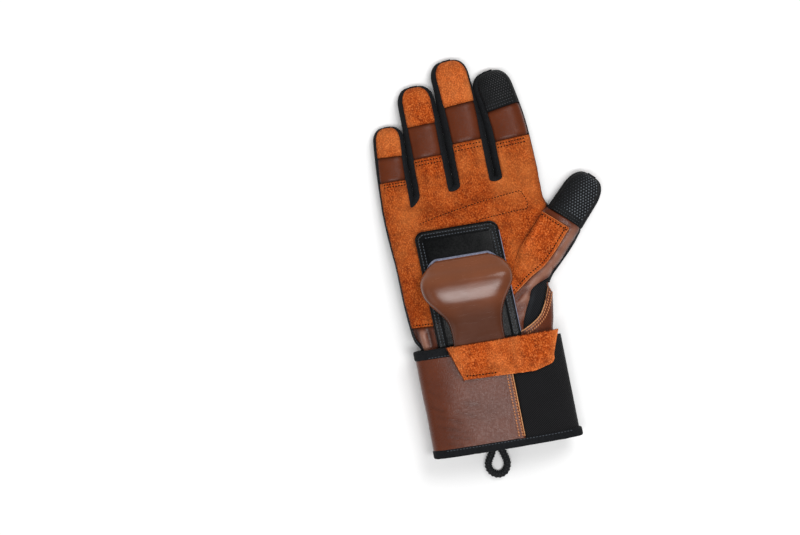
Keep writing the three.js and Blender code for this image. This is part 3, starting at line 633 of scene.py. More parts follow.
def ballTemplate(around, up):
    bm = bmesh.new()
    bmesh.ops.create_uvsphere(bm, u_segments=around, v_segments=up, radius=0.5)
    bm.verts.index_update()
    return bm


def frameAt(position, along, normal, size):
    x = along.normalized()
    z = (normal - x * normal.dot(x)).normalized()
    y = z.cross(x)
    turn = Matrix((x, y, z)).transposed().to_4x4()
    return Matrix.Translation(position) @ turn @ Matrix.Diagonal((*size, 1))


# Cuts a mesh along a line drawn in plan
def cutAlong(bm, line, owner=None):
    low = Vector((min(p.x for p in line) - 4, min(p.y for p in line) - 4))
    high = Vector((max(p.x for p in line) + 4, max(p.y for p in line) + 4))
    near = set()
    tag = bm.faces.layers.int.get("finger")
    for face in bm.faces:
        if owner is not None and face[tag] != owner:
            continue
        c = face.calc_center_median()
        if low.x < c.x < high.x and low.y < c.y < high.y:
            near.add(face)
    for a, b in zip(line, line[1:]):
        along = (b - a).normalized()
        length = (b - a).length
        across = Vector((-along.y, along.x))
        chosen = set()
        for face in near:
            if not face.is_valid:
                continue
            c = face.calc_center_median().xy - a
            if -1.2 < c.dot(along) < length + 1.2 and abs(c.dot(across)) < 2.6:
                chosen.add(face)
                chosen.update(face.edges)
                chosen.update(face.verts)
        if not chosen:
            continue
        done = bmesh.ops.bisect_plane(bm, geom=list(chosen), dist=0.03, plane_co=(a.x, a.y, 0),
                                      plane_no=(across.x, across.y, 0))
        for item in done["geom_cut"]:
            if isinstance(item, bmesh.types.BMVert):
                near.update(item.link_faces)


def inside(point, polygon):
    hit = False
    for a, b in zip(polygon, polygon[1:] + polygon[:1]):
        if (a.y > point.y) != (b.y > point.y):
            if point.x < (b.x - a.x) * (point.y - a.y) / (b.y - a.y) + a.x:
                hit = not hit
    return hit


# Keeps the faces of one label in a copy of the mesh
def pickFaces(bm, layer, label):
    part = bm.copy()
    tag = part.faces.layers.int[layer]
    gone = [face for face in part.faces if face[tag] != label]
    bmesh.ops.delete(part, geom=gone, context="FACES")
    return part


def distanceToLine(point, line):
    best = 1e9
    for a, b in zip(line, line[1:]):
        along = b - a
        t = clamp((point - a).dot(along) / max(along.length_squared, 1e-9))
        best = min(best, (point - a - along * t).length)
    return best


# Hand surfaces
grid = {"fingerColumns": 16, "forkColumns": 10, "palmRowsPerEdge": 6, "fingerRows": 62}
handLines = []
for f in range(4):
    for t in spread(-1, 1, grid["fingerColumns"]):
        handLines.append((f, t, None))
    if f < 3:
        for turn in spread(0, math.pi, grid["forkColumns"])[1:-1]:
            handLines.append((f, None, -math.cos(turn)))
handBase = cuff["length"] - hand["tuck"]

# How far the palm side wraps round each side of a finger, at its root and at its tip
wrapOf = {(0, -1): (0.88, 0.8), (1, 1): (0.72, 0.78), (2, 1): (0.72, 0.88), (3, 1): (0.96, 0.96)}
thumbWrap = {-1: 0.9, 1: 0.82}


def palmLimit(f, end, share):
    if f == 4:
        return thumbWrap[end]
    a, b = wrapOf.get((f, end), (hand["strip"], hand["strip"]))
    return lerp(a, b, smoothstep(share, 0.2, 0.8))


def lateralAt(f, t, share, side):
    if side < 0:
        return t * hand["strip"]
    return lerp(-palmLimit(f, -1, share), palmLimit(f, 1, share), (t + 1) / 2)


def forkDip(line):
    return 0 if line[2] is None else hand["forkDip"] * math.sqrt(1 - line[2] ** 2) * 0.5


def lineRoot(line, side):
    f, lateral, t = line
    if t is None:
        return digits[f](0, lateralAt(f, lateral, 0, side), side)
    a = digits[f](0, lateralAt(f, 1, 0, side), side)
    b = digits[f + 1](0, lateralAt(f + 1, -1, 0, side), side)
    middle = a.lerp(b, (t + 1) / 2)
    middle.y -= forkDip(line)
    return middle


handEdges = {}
indexRoots = {}
for side in (1, -1):
    inset = (1 - lateralAt(3, 1, 0, side)) * fingers[3]["width"] / 2

    def straightEdge(y):
        return Vector((sideX(y, "right") - inset, y))
    indexRoot = lineRoot(handLines[-1], side).xy
    outerRoot = thumbRoot + thumbAcross * (thumb["width"] / 2 * lateralAt(4, 1, 0, side))
    innerRoot = thumbRoot + thumbAcross * (thumb["width"] / 2 * lateralAt(4, -1, 0, side))
    edge = [straightEdge(handBase)]
    edge += [straightEdge(onHand(0, along).y) for along in (0.008, 0.067, 0.143, 0.219)]
    edge += thumbEdge + [outerRoot, thumbRoot, innerRoot]
    edge += [straightEdge(innerRoot.y + hand["length"] * 0.086)]
    edge += [straightEdge((innerRoot.y + hand["length"] * 0.086 + indexRoot.y) / 2), indexRoot]
    handEdges[side] = edge
    indexRoots[side] = indexRoot
palmRows = (len(handEdges[1]) - 1) * grid["palmRowsPerEdge"]
thumbFirstRow = 5 * grid["palmRowsPerEdge"]
thumbOuterRow = 10 * grid["palmRowsPerEdge"]
thumbInnerRow = 12 * grid["palmRowsPerEdge"]


# The thumb's root is one straight line, so rows there are read along it
def edgeAt(row, side):
    handEdge = handEdges[side]
    at = row / grid["palmRowsPerEdge"]
    i = min(int(at), len(handEdge) - 2)
    if 10 <= at <= 12 or i >= 12 or i < 4:
        return handEdge[i].lerp(handEdge[i + 1], at - i)
    return curveThrough(handEdge, at / (len(handEdge) - 1))


def handPoint(row, line, side):
    root = lineRoot(line, side)
    if row >= palmRows:
        return root
    edge = edgeAt(row, side)
    indexRoot = indexRoots[side]
    rootLeft = sideX(indexRoot.y, "left")
    across = (root.x - rootLeft) / (indexRoot.x - rootLeft)
    share = (edge.y - handBase) / (indexRoot.y - handBase)
    dip = forkDip(line)
    y = edge.y - (indexRoot.y - root.y - dip) * share ** 2 - dip * smoothstep(share, 0.8, 1)
    x = lerp(sideX(y, "left"), edge.x, across)
    return Vector((x, y, lerp(handZ(x, y, side), root.z, smoothstep(share, 0.66, 1))))


# Rows bunch towards the fingertip, where the form turns in
def bunched(t, start):
    return lerp(t, 1 - (1 - t) ** 2.2, smoothstep(t, start, 1))


def combPoint(i, j, side):
    line = handLines[i] if side > 0 else handLines[len(handLines) - 1 - i]
    if j <= palmRows:
        return handPoint(j, line, side)
    if line[2] is not None:
        return lineRoot(line, side)
    share = bunched((j - palmRows) / grid["fingerRows"], 0.55)
    return digits[line[0]](share, lateralAt(line[0], line[1], share, side), side)


def combKeep(i, j, side):
    k = i if side > 0 else len(handLines) - 2 - i
    isFork = handLines[k][2] is not None or handLines[k + 1][2] is not None
    return j < palmRows or not isFork


def handMesh(side):
    return gridMesh(len(handLines) - 1, palmRows + grid["fingerRows"],
                    lambda i, j: combPoint(i, j, side), lambda i, j: combKeep(i, j, side))


palmMesh = handMesh(1)
backMesh = handMesh(-1)
# Each face of a finger remembers which finger it is on
fingerTag = palmMesh.faces.layers.int.new("finger")
for face in palmMesh.faces:
    c = face.calc_center_median()
    near = [abs(c.x - digits[f](clamp((c.y - finger["root"].y) / finger["length"]), 0, 1).x)
            for f, finger in enumerate(fingers)]
    best = near.index(min(near))
    if c.y > fingers[best]["root"].y + 6:
        face[fingerTag] = best + 1
print("hand surfaces", len(palmMesh.faces), len(backMesh.faces))

# Seams, as across and along at each point
seams = {
    "heel": [
        (-0.61, 0.149), (-0.419, 0.145), (-0.295, 0.139), (-0.295, -0.114),
    ],
    "suedeInner": [
        (0.571, 0.819), (0.463, 0.733), (0.362, 0.623), (0.276, 0.524), (0.2, 0.362), (0.16, 0.222),
    ],
    "suedeEdge": [
        (0.419, 0.786), (0.465, 0.739), (0.609, 0.607), (0.504, 0.484), (0.418, 0.401), (0.324, 0.346),
        (0.202, 0.255), (0.114, 0.19), (0.105, 0.029), (0.105, -0.133),
    ],
    "leatherEdge": [
        (0.533, 0.367), (0.447, 0.328), (0.357, 0.295), (0.309, 0.263), (0.29, 0.213), (0.25, 0.13),
        (0.223, 0.043), (0.21, -0.114),
    ],
    "wrap": [
        (0.495, 0.339), (0.45, 0.317), (0.41, 0.233), (0.377, 0.154), (0.327, 0.085), (0.223, 0.025),
        (0.114, 0),
    ],
    "rib": [
        (-0.61, 0.714), (-0.514, 0.705), (-0.314, 0.681), (-0.076, 0.619), (0.143, 0.5), (0.238, 0.381),
        (0.267, 0.238), (0.243, 0.114), (0.181, -0.01), (0.133, -0.152),
    ],
}
sharp = {"suedeEdge": [0, 1, 2], "heel": [2], "suedeInner": []}


def seamLine(name, step=3.0):
    points = [onHand(*p) for p in seams[name]]
    breaks = [0] + [k for k in sharp.get(name, []) if 0 < k < len(points) - 1] + [len(points) - 1]
    line = [points[0]]
    for a, b in zip(breaks, breaks[1:]):
        line += splineLine(points[a:b + 1], step)[1:]
    return line


lines = {name: seamLine(name) for name in seams}


def crossLine(f, share, over=1.3):
    return [digits[f](share, lateral, 1).xy for lateral in (-over, over)]


def corners(*points):
    return [onHand(*p) for p in points]


suedeLine = lines["suedeEdge"]
firstCorner = nearestOn(suedeLine, onHand(0.465, 0.739))
outerCorner = nearestOn(suedeLine, onHand(0.609, 0.607))
lastCross = nearestOn(suedeLine, onHand(0.163, 0.227))
innerLine = lines["suedeInner"]
innerFirst = nearestOn(innerLine, onHand(0.463, 0.733))
palmRegions = [
    ("side_wrap_leather", lines["wrap"] + corners((0.114, -0.3), (0.7, -0.3), (0.7, 0.339))),
    ("thumb_rib_panel", lines["leatherEdge"] + corners((0.7, -0.114), (0.7, 0.367))),
    ("thumb_suede", suedeLine[firstCorner:lastCross + 1] + innerLine[innerFirst:][::-1][1:]),
    ("thumb_leather", suedeLine[firstCorner:] + corners((1.2, -0.133), (1.2, 0.82), (0.555, 0.82))),
    ("heel_leather", lines["heel"] + corners((-0.295, -0.4), (-0.8, -0.4), (-0.8, 0.149))),
]
palmCuts = [lines[name] for name in ("heel", "suedeInner", "leatherEdge", "wrap")]
palmCuts += [suedeLine[firstCorner:], [onHand(0.555, 0.82), suedeLine[firstCorner]],
             corners((0.114, 0), (0.114, -0.13))]
fingerCuts = []
for f, finger in enumerate(fingers):
    low = crossLine(f, hand["seamLow"])
    high = crossLine(f, hand["seamHigh"])
    tip = digits[f](1, 0, 1).xy + Vector((0, 10))
    end = [tip - Vector((finger["width"], 0)), tip + Vector((finger["width"], 0))]
    fingerCuts += [(low, f + 1), (high, f + 1)]
    palmRegions.append((finger["name"] + "_mid_panel", [low[0], low[1], high[1], high[0]]))
    palmRegions.append((finger["name"] + "_tip_patch", [high[0], high[1], end[1], end[0]]))
for line in palmCuts:
    cutAlong(palmMesh, line)
for line, owner in fingerCuts:
    cutAlong(palmMesh, line, owner)
fingerSeams = [line for line, _ in fingerCuts]
cutAlong(backMesh, lines["rib"])
palmLabels = ["palm_suede"] + [name for name, _ in palmRegions]


def labelFaces(bm, regions):
    tag = bm.faces.layers.int.new("panel")
    fingerTag = bm.faces.layers.int.get("finger")
    names = [finger["name"] for finger in fingers]
    for face in bm.faces:
        c = face.calc_center_median().xy
        for k, (name, polygon) in enumerate(regions):
            owner = name.split("_")[0]
            if owner in names and face[fingerTag] != names.index(owner) + 1:
                continue
            if inside(c, polygon):
                face[tag] = k + 1
                break


labelFaces(palmMesh, palmRegions)
labelFaces(backMesh, [("back_rib_panel", lines["rib"] + corners((-0.9, -0.152), (-0.9, 0.714)))])
print("panels cut", len(palmMesh.faces), len(backMesh.faces))

# Face, cut edge and slot of each kind of panel
covers = {
    "suede": (suede, suedeEdge, "orange_suede"), "leather": (brownLeather, rawEdge, "brown_leather"),
    "turned": (brownLeather, brownLeather, "brown_leather"), "back": (backLeather, rawEdge, "brown_leather"),
    "finger": (fingerLeather, fingerLeather, "brown_leather"), "rib": (ribCloth, ribCloth, "black_rib"),
    "grip": (gripCloth, gripCloth, "black_grip"),
}
# Panels. rise: how far one stands over the surface. lump: how uneven it is.
# tone: how much paler it is than its kind.
panelLook = {
    "palm_suede": {"cover": "suede", "rise": 0.25, "wall": 1.3, "lump": 0.22},
    "thumb_suede": {"cover": "suede", "rise": 0.75, "wall": 1.3, "lump": 0.25, "tone": 0.1},
    "heel_leather": {"cover": "leather", "rise": -0.35, "wall": 1.1, "lump": 0.1},
    "thumb_leather": {"cover": "turned", "rise": 0.1, "wall": 1.2, "lump": 0.2},
    "thumb_rib_panel": {"cover": "rib", "rise": -0.6, "wall": 1.0, "lump": 0.1},
    "side_wrap_leather": {"cover": "leather", "rise": 0.35, "wall": 1.1, "lump": 0.1},
    "back_leather": {"cover": "back", "rise": 0.3, "wall": 1.1, "lump": 0.3},
    "back_rib_panel": {"cover": "rib", "rise": -0.3, "wall": 1.0, "lump": 0.15},
    "thumb_grip_tip": {"cover": "grip", "rise": 0.3, "wall": 1.2, "lump": 0.15},
    "thumb_back_leather": {"cover": "back", "rise": 0.1, "wall": 1.2, "lump": 0.15},
}
for name, cover, tone in (("little", "suede", 0.1), ("ring", "suede", 0.1), ("middle", "suede", 0.13),
                          ("index", "grip", 0)):
    panelLook[name + "_mid_panel"] = {"cover": "finger", "rise": -0.25, "wall": 1.1, "lump": 0.12}
    panelLook[name + "_tip_patch"] = {"cover": cover, "rise": 0.2, "wall": 1.3, "lump": 0.15, "tone": tone}
panelEdge = {"reach": 2.4, "roll": 0.35}


def foldList(*rows):
    return [(Vector(row[:2]), Vector(row[2:4]), row[4], row[5]) for row in rows]


# Folds pressed into the palm side: start, end, half width, depth (a negative depth is a ridge). Through the
# shade attribute a fold also gets painted shade and a ridge a painted highlight.
palmFolds = foldList(
    (48.6, 148.8, 29, 127, 1.6, 0.55), (50, 145.5, 31.5, 124.5, 1.8, -0.35),
    (31, 127, 22, 111, 1.5, 0.5), (27, 125, 33, 117, 1.1, 0.4), (24, 117, 30, 112, 1.1, 0.4),
    (22, 113, 27, 104, 1.2, 0.45), (26, 121, 20, 108, 1.4, -0.4),
    (36, 102, 22, 92, 2.6, -0.9), (33, 98, 24, 80, 2.4, -0.8), (30, 101.5, 21, 94, 1.2, 0.7),
    (46, 111.5, 31, 101.5, 2.6, -1.2), (57.5, 122.5, 44, 109.5, 2.8, -1.2),
    (69, 136.5, 56.5, 121.5, 2.4, -1.3),
    (-51.5, 86, -49.5, 70, 1.7, -1.5), (-43, 86, -42, 70, 1.8, -1.6), (-47.3, 86, -46, 70, 1.4, 1.3),
    (-38.8, 86, -37.8, 72, 1.3, 1.1),
    (-45, 168, -10, 158, 2.2, 0.3), (-30, 156, 30, 170, 3.0, 0.25),
    (3, 187, 13, 188.5, 1.6, 0.3), (30, 189, 42, 190, 1.6, 0.3), (-25, 183, -14, 184, 1.5, 0.3),
    (28, 176, 44, 173, 1.8, 0.25),
)
backFolds = foldList(
    (-52, 165, -34, 160, 1.6, 0.5), (-50, 158, -30, 153, 1.5, 0.4), (-28, 172, -12, 168, 1.6, 0.5),
    (-24, 163, -8, 160, 1.5, 0.4), (2, 174, 16, 172, 1.6, 0.5), (4, 165, 18, 162, 1.5, 0.4),
    (28, 172, 44, 168, 1.6, 0.5), (26, 158, 46, 150, 1.8, 0.4), (-8, 196, 18, 197, 1.4, 0.35),
    (-32, 192, -8, 193, 1.4, 0.35), (24, 196, 48, 197, 1.4, 0.35), (-56, 186, -36, 186, 1.4, 0.35),
    (34, 140, 56, 128, 2.0, 0.5), (38, 150, 62, 138, 1.8, 0.4), (30, 120, 44, 112, 1.8, 0.4),
)


def foldAt(point, folds):
    total = 0
    for a, b, width, depth in folds:
        along = b - a
        t = (point - a).dot(along) / along.length_squared
        if t < -0.15 or t > 1.15:
            continue
        d = (point - a - along * clamp(t)).length
        if d > width * 3:
            continue
        wobble = 0.75 + 0.5 * noise.noise(Vector((point.x * 0.16, point.y * 0.16, width)))
        total -= depth * wobble * math.exp(-(d / width) ** 2) * smoothstep(min(t, 1 - t), -0.15, 0.25)
    return total


def shapePanel(bm, look, folds, seamLines, seed):
    shade = bm.verts.layers.float["shade"]
    rise = look["rise"]
    bm.normal_update()
    for v in bm.verts:
        p = v.co.xy
        lump = noise.fractal(Vector((p.x * 0.13, p.y * 0.13, seed)), 0.9, 2.1, 4) * look["lump"]
        fold = foldAt(p, folds)
        nearEdge = 1 - min([1.0] + [distanceToLine(p, line) / panelEdge["reach"] for line in seamLines])
        roll = nearEdge ** 2 * panelEdge["roll"] * (1 if rise > 0 else 1.8)
        # painted shade along the rolled seam edges, stronger on sunken panels
        paintedSeamShade = nearEdge * (0.1 if rise > 0 else 0.35)
        # shade: the panel's tone, plus painted light and shade from lumps and folds, less the painted seam
        # shade
        v[shade] = clamp(0.5 + look.get("tone", 0) + lump * 0.4 + fold * 0.55 - paintedSeamShade)
        v.co += v.normal * (rise + lump + fold - roll)
        v.co.z = max(v.co.z, 0.02)


def makePanel(bm, name, folds, seamLines, seed):
    look = panelLook[name]
    shapePanel(bm, look, folds, seamLines, seed)
    face, edge, slot = covers[look["cover"]]
    return makeSheet(bm, name, look["wall"], (face, edge, lining))


palmTrees = []
for label, name in enumerate(palmLabels):
    own = [line for line, owner in fingerCuts if name.split("_")[0] == fingers[owner - 1]["name"]]
    palmTrees.append(makePanel(pickFaces(palmMesh, "panel", label), name, palmFolds,
                               own or palmCuts + fingerSeams[::2], label * 7.3))
backTrees = []
for label, name in enumerate(["back_leather", "back_rib_panel"]):
    backTrees.append(makePanel(pickFaces(backMesh, "panel", label), name, backFolds,
                               [lines["rib"]], 50 + label))
print("panels shaped")

# Side walls
wall = {
    "steps": 14, "thumbSteps": 34, "knit": 0.9, "leather": 1.1, "tuck": 0.5, "indexHalf": 8, "forkHalf": 16,
}
fingerShares = [bunched(t, 0.55) for t in spread(0, 1, grid["fingerRows"])]
thumbShares = [bunched(t, 0.3) for t in spread(0, 1, wall["thumbSteps"])]
digits.append(thumbDigit)
sizes = fingers + [thumb]


# Neighbouring fingers lie against each other: how far a wall swells to meet the next one
def swellAt(f, end, share):
    n = f + end
    if f > 3 or n < 0 or n > 3:
        return 0
    at = digits[f](share, end, 1)
    other = (at.y - fingers[n]["root"].y) / fingers[n]["length"]
    if other > 0.95:
        return 0
    gap = abs(digits[n](clamp(other), -end, 1).x - at.x)
    return max(0, gap / 2 - 0.04) * (1 - smoothstep(max(share, other), 0.75, 0.95))


# Points of a side wall: palm point, back point, half width, how far the palm side wraps, and swell
def fingerPath(f, end):
    path = []
    for share in fingerShares if f < 4 else thumbShares:
        wrap = palmLimit(f, end, share)
        path.append((digits[f](share, end * wrap, 1), digits[f](share, end * hand["strip"], -1),
                     halfAt(share, sizes[f]["width"], sizes[f]["length"]), wrap, swellAt(f, end, share)))
    return path


# The end of a finger, where its side wall runs round the tip
def tipCap(f):
    half = halfAt(1, sizes[f]["width"], sizes[f]["length"]) * 1.3
    strip = hand["strip"]
    return [(digits[f](1, lateralAt(f, t, 1, 1), 1), digits[f](1, t * strip, -1), half, strip, 0)
            for t in spread(-1, 1, 10)[1:]]


def handPath(line, rows, half, wrap):
    return [(handPoint(row, line, 1), handPoint(row, line, -1), half, wrap, 0) for row in rows]


def sideStrip(name, path, thickness=wall["knit"], cloth=knit):
    edge = [point[0] for point in path]
    outs = []
    for i in range(len(path)):
        along = tangentAt(edge, i)
        outs.append(Vector((-along.y, along.x, 0)).normalized())
    for _ in range(3):
        outs = [(outs[max(i - 1, 0)] + outs[i] + outs[min(i + 1, len(outs) - 1)]).normalized()
                for i in range(len(outs))]

    def placeAt(i, j):
        palm, back, half, wrap, swell = path[i]
        share = 1 - j / wall["steps"]
        height = lerp(crown(wrap, 2.4), -crown(hand["strip"], 2.4), share)
        bulge = crown(height, 2.4) - lerp(wrap, hand["strip"], share)
        point = palm.lerp(back, share) + outs[i] * half * bulge
        point += outs[i] * swell * math.sin(math.pi * share)
        inward = wall["tuck"] * (1 - smoothstep(min(share, 1 - share), 0, 0.12))
        point -= outs[i] * inward * 0.6
        point.z += inward * (-1 if share < 0.5 else 1) * 0.9
        return point
    bm = gridMesh(len(path) - 1, wall["steps"], placeAt)
    bm.faces.ensure_lookup_table()
    middle = bm.faces[len(bm.faces) // 2]
    closest = nearestOn([point.xy for point in edge], middle.calc_center_median().xy)
    if middle.normal.dot(outs[closest]) < 0:
        bmesh.ops.reverse_faces(bm, faces=bm.faces)
    return makeSheet(bm, name, thickness, (cloth, lining), 0, 1)


edgeLine = handLines[-1]
path = handPath(handLines[0], range(palmRows), fingers[0]["width"] / 2, 0.88) + fingerPath(0, -1) + tipCap(0)
sideTrees = [sideStrip("little_side_strip", path)]
for f in range(3):
    fork = [line for line in handLines if line[0] == f and line[2] is not None]
    path = fingerPath(f, 1)[::-1]
    path += [(lineRoot(line, 1), lineRoot(line, -1), wall["forkHalf"], hand["strip"], 0) for line in fork]
    path += fingerPath(f + 1, -1) + tipCap(f + 1)
    sideTrees.append(sideStrip("fourchette_%s_%s" % (fingers[f]["name"], fingers[f + 1]["name"]), path))
path = fingerPath(3, 1)[::-1]
path += handPath(edgeLine, range(thumbInnerRow + 2, palmRows), wall["indexHalf"], 0.95)[::-1]
sideTrees.append(sideStrip("index_thumb_strip", path + fingerPath(4, -1) + tipCap(4)))
path = fingerPath(4, 1)[::-1]
path += handPath(edgeLine, range(thumbFirstRow + 1, thumbOuterRow), wall["indexHalf"], 0.8)[::-1]
sideTrees.append(sideStrip("thumb_outer_strip", path))
path = handPath(edgeLine, range(thumbFirstRow + 2), wall["indexHalf"], 0.95)[::-1]
sideTrees.append(sideStrip("wrist_side_leather", path, wall["leather"], brownLeather))


# Thumb tip
def thumbTip(side, name):
    columns = 20
    thumbHalf = thumbAcross * thumb["width"] * 0.6

    def placeAt(i, j):
        t = lerp(-1, 1, i / columns) * side
        return thumbDigit(lerp(0.012, 1, thumbShares[j]), lateralAt(4, t, 1, side), side)
    bm = gridMesh(columns, wall["thumbSteps"], placeAt)
    return makePanel(bm, name, [], [[thumbRoot - thumbHalf, thumbRoot + thumbHalf]], 90 + side)


palmTrees.append(thumbTip(1, "thumb_grip_tip"))
backTrees.append(thumbTip(-1, "thumb_back_leather"))
print("side walls and thumb made")


# Cuff. An angle of 90 is the middle of the palm side, 0 the thumb side, -90 the back.
def cuffCentre(y):
    return cuff["lean"] * (0.5 - y / cuff["length"])


def cuffPoint(angle, y, proud, extraLow=0):
    c = math.cos(math.radians(angle))
    s = math.sin(math.radians(angle))
    power = 2 / cuff["roundness"]
    reach = cuff["height"] / 2 + proud + (extraLow if s < 0 else 0)
    x = cuffCentre(y) + (cuff["width"] / 2 + proud) * signedPower(c, power)
    return Vector((x, y, cuffMid + reach * signedPower(s, power)))


def cuffAngleAt(x):
    share = (x - cuffCentre(cuff["length"] / 2)) / (cuff["width"] / 2)
    return math.degrees(math.acos(signedPower(share, cuff["roundness"] / 2)))


seamAngle = cuffAngleAt(cuff["seamX"])
seamStep = math.degrees(cuff["seamGap"] / (cuff["width"] / 2))
leatherEnd = 360 - cuffAngleAt(cuff["width"] / 2 - strap["overlap"])
bindingEnd = leatherEnd - 7
hemEndAngle = -14
cuffFolds = foldList(
    (-44, 22, -22, 14, 1.0, 0.22), (-42, 28, -26, 21, 0.9, 0.2), (-38, 14, -20, 9.5, 0.9, 0.2),
    (-30, 30, -16, 24, 1.1, 0.18), (-46, 35, -36, 30, 1.0, 0.2), (-26, 35, -12, 31, 1.6, 0.16),
    (-40, 9, -28, 7.5, 0.8, 0.2), (-46, 46, -38, 40, 1.0, 0.15),
)


def cuffLeather():
    columns, rows = 150, 40

    def placeAt(i, j):
        angle = lerp(seamAngle + seamStep / 2, leatherEnd, 1 - i / columns)
        y = lerp(cuff["hem"] - 1.5, cuff["length"] - cuff["topBinding"] + 1.5, j / rows)
        return cuffPoint(angle, y, 0)
    bm = gridMesh(columns, rows, placeAt)
    shade = bm.verts.layers.float["shade"]
    for v in bm.verts:
        p = v.co.xy
        onTop = v.co.z > cuffMid
        fold = foldAt(p, cuffFolds) * onTop
        lump = noise.fractal(v.co * 0.035, 0.9, 2.1, 2) * 0.3
        fine = noise.noise(Vector((v.co.x * 0.25, v.co.y * 0.7, v.co.z * 0.25))) * 0.03
        raised = 0.35 * smoothstep(p.x, cuff["seamX"] - 4.6, cuff["seamX"] - 3.2) * onTop
        channel = 0.35 * math.exp(-((p.x - 7.4) / 0.5) ** 2) * onTop
        # Painted shade in the creases, and painted light and shade from the lumps
        v[shade] = clamp(0.5 + fold + lump * 0.2)
        v.co += v.normal * (lump + fine + fold * 1.5 + raised - channel)
    return makeSheet(bm, "cuff_leather", cuff["wall"] - 0.4, (brownLeather, rawEdge, lining))


topTrees = [cuffLeather()]


# A binding folded over an edge of the cuff: a rounded section carried round the cuff
def cuffBinding(name, angles, low, high):
    thick = cuff["wall"] + 2 * cuff["proud"]
    middle = cuff["proud"] + 0.25 - thick / 2
    width = high - low
    count = 22

    def placeAt(i, j):
        turn = 2 * math.pi * (j % count) / count
        y = low + width / 2 + width / 2 * signedPower(math.cos(turn), 0.45)
        angle = angles[len(angles) - 1 - i]
        point = cuffPoint(angle, y, middle + thick / 2 * signedPower(math.sin(turn), 0.55))
        wobble = noise.noise(Vector((angle * 0.12, y * 0.3, 5))) * 0.16
        return point + Vector((0, wobble, 0.1 * noise.noise(Vector((angle * 0.2, y * 0.6, 9)))))
    return makeTube(gridMesh(len(angles) - 1, count, placeAt), name)


topTrees.append(cuffBinding("cuff_top_binding", spread(seamAngle + 4, bindingEnd, 120),
                            cuff["length"] - cuff["topBinding"], cuff["length"]))
topTrees.append(cuffBinding("cuff_hem", spread(hemEndAngle, bindingEnd, 150), 0, cuff["hem"]))

# Elastic half of the cuff, which runs on under the cuff as the strap
strapDrop = cuffLow - strapLow
elasticStart = seamAngle - seamStep / 2
strapTurn = -68
strapX = cuffPoint(strapTurn, cuff["length"] / 2, 0, strapDrop).x
strapEndX = -cuff["width"] / 2 + cuff["wall"]
elasticTop = cuff["length"] - cuff["topBinding"] * 0.6
strapTop = strap["width"]
strapBottom = strap["bottom"]
strapMiddle = (strapTop + strapBottom) / 2


def strapHalfAt(x):
    past = max(0, strapEndX + strap["endRadius"] - x) / strap["endRadius"]
    straight = (strapTop - strapBottom) / 2 - strap["endRadius"]
    return straight + strap["endRadius"] * math.sqrt(max(0, 1 - past ** 2))


def elasticStrap():
    angles = spread(elasticStart, -20, 70) + spread(-20, strapTurn, 26)[1:]
    ends = [strapEndX + strap["endRadius"] * (1 - math.sin(math.radians(a))) for a in spread(0, 88, 14)]
    xs = spread(strapX - 2, strapEndX + strap["endRadius"], 40)[:-1] + ends
    count = len(angles) + len(xs)
    rows = 34

    def placeAt(i, j):
        level = j / rows
        if i < len(angles):
            angle = angles[i]
            turn = smoothstep(-angle, 22, 62)
            low = lerp(cuff["hem"] - 0.6, strapBottom, turn)
            high = lerp(elasticTop, strapTop, turn)
            inset = 0.95 * smoothstep(angle, -35, -10) * smoothstep(-angle, -50, -20)
            point = cuffPoint(angle, lerp(low, high, level), -inset, strapDrop * smoothstep(-angle, 0, 50))
        else:
            x = xs[i - len(angles)]
            point = Vector((x, strapMiddle + strapHalfAt(x) * (2 * level - 1), strapLow))
        return point
    bm = gridMesh(count - 1, rows, placeAt)
    shade = bm.verts.layers.float["shade"]
    for v in bm.verts:
        onTop = v.co.z > cuffMid
        if onTop:
            v.co += v.normal * (noise.fractal(v.co * 0.05, 0.9, 2.0, 3) * 0.15 - 0.2)
        # Painted shade on the elastic along the cuff seam
        v[shade] = 0.5 - 0.35 * smoothstep(-abs(v.co.x - cuff["seamX"]), -2.5, -0.2) * onTop
    return makeSheet(bm, "elastic_strap", strap["wall"] - 0.1, (twill,), 0, 0)


topTrees.append(elasticStrap())


def strapOutline(inset, right, steps=14):
    radius = strap["endRadius"] - inset
    centreX = strapEndX + strap["endRadius"]
    line = [Vector((right, strapTop - inset))]
    turns = ((strapTop - strap["endRadius"], math.pi / 2), (strapBottom + strap["endRadius"], math.pi))
    for y, start in turns:
        for angle in spread(start, start + math.pi / 2, steps):
            line.append(Vector((centreX + radius * math.cos(angle), y + radius * math.sin(angle))))
    line.append(Vector((right, strapBottom + inset)))
    return line


# The strap's binding: a flat rounded band along the strap's edge
def strapBinding():
    outer = strapOutline(0, strapX - 3)
    inner = strapOutline(strap["binding"], strapX - 3)
    count = 14

    def placeAt(i, j):
        turn = 2 * math.pi * (j % count) / count
        p = outer[i].lerp(inner[i], 0.5 + 0.5 * signedPower(math.cos(turn), 0.5))
        return Vector((p.x, p.y, strap["patchWall"] / 2 * (1 + signedPower(math.sin(turn), 0.6))))
    return makeTube(gridMesh(len(outer) - 1, count, placeAt), "strap_binding")


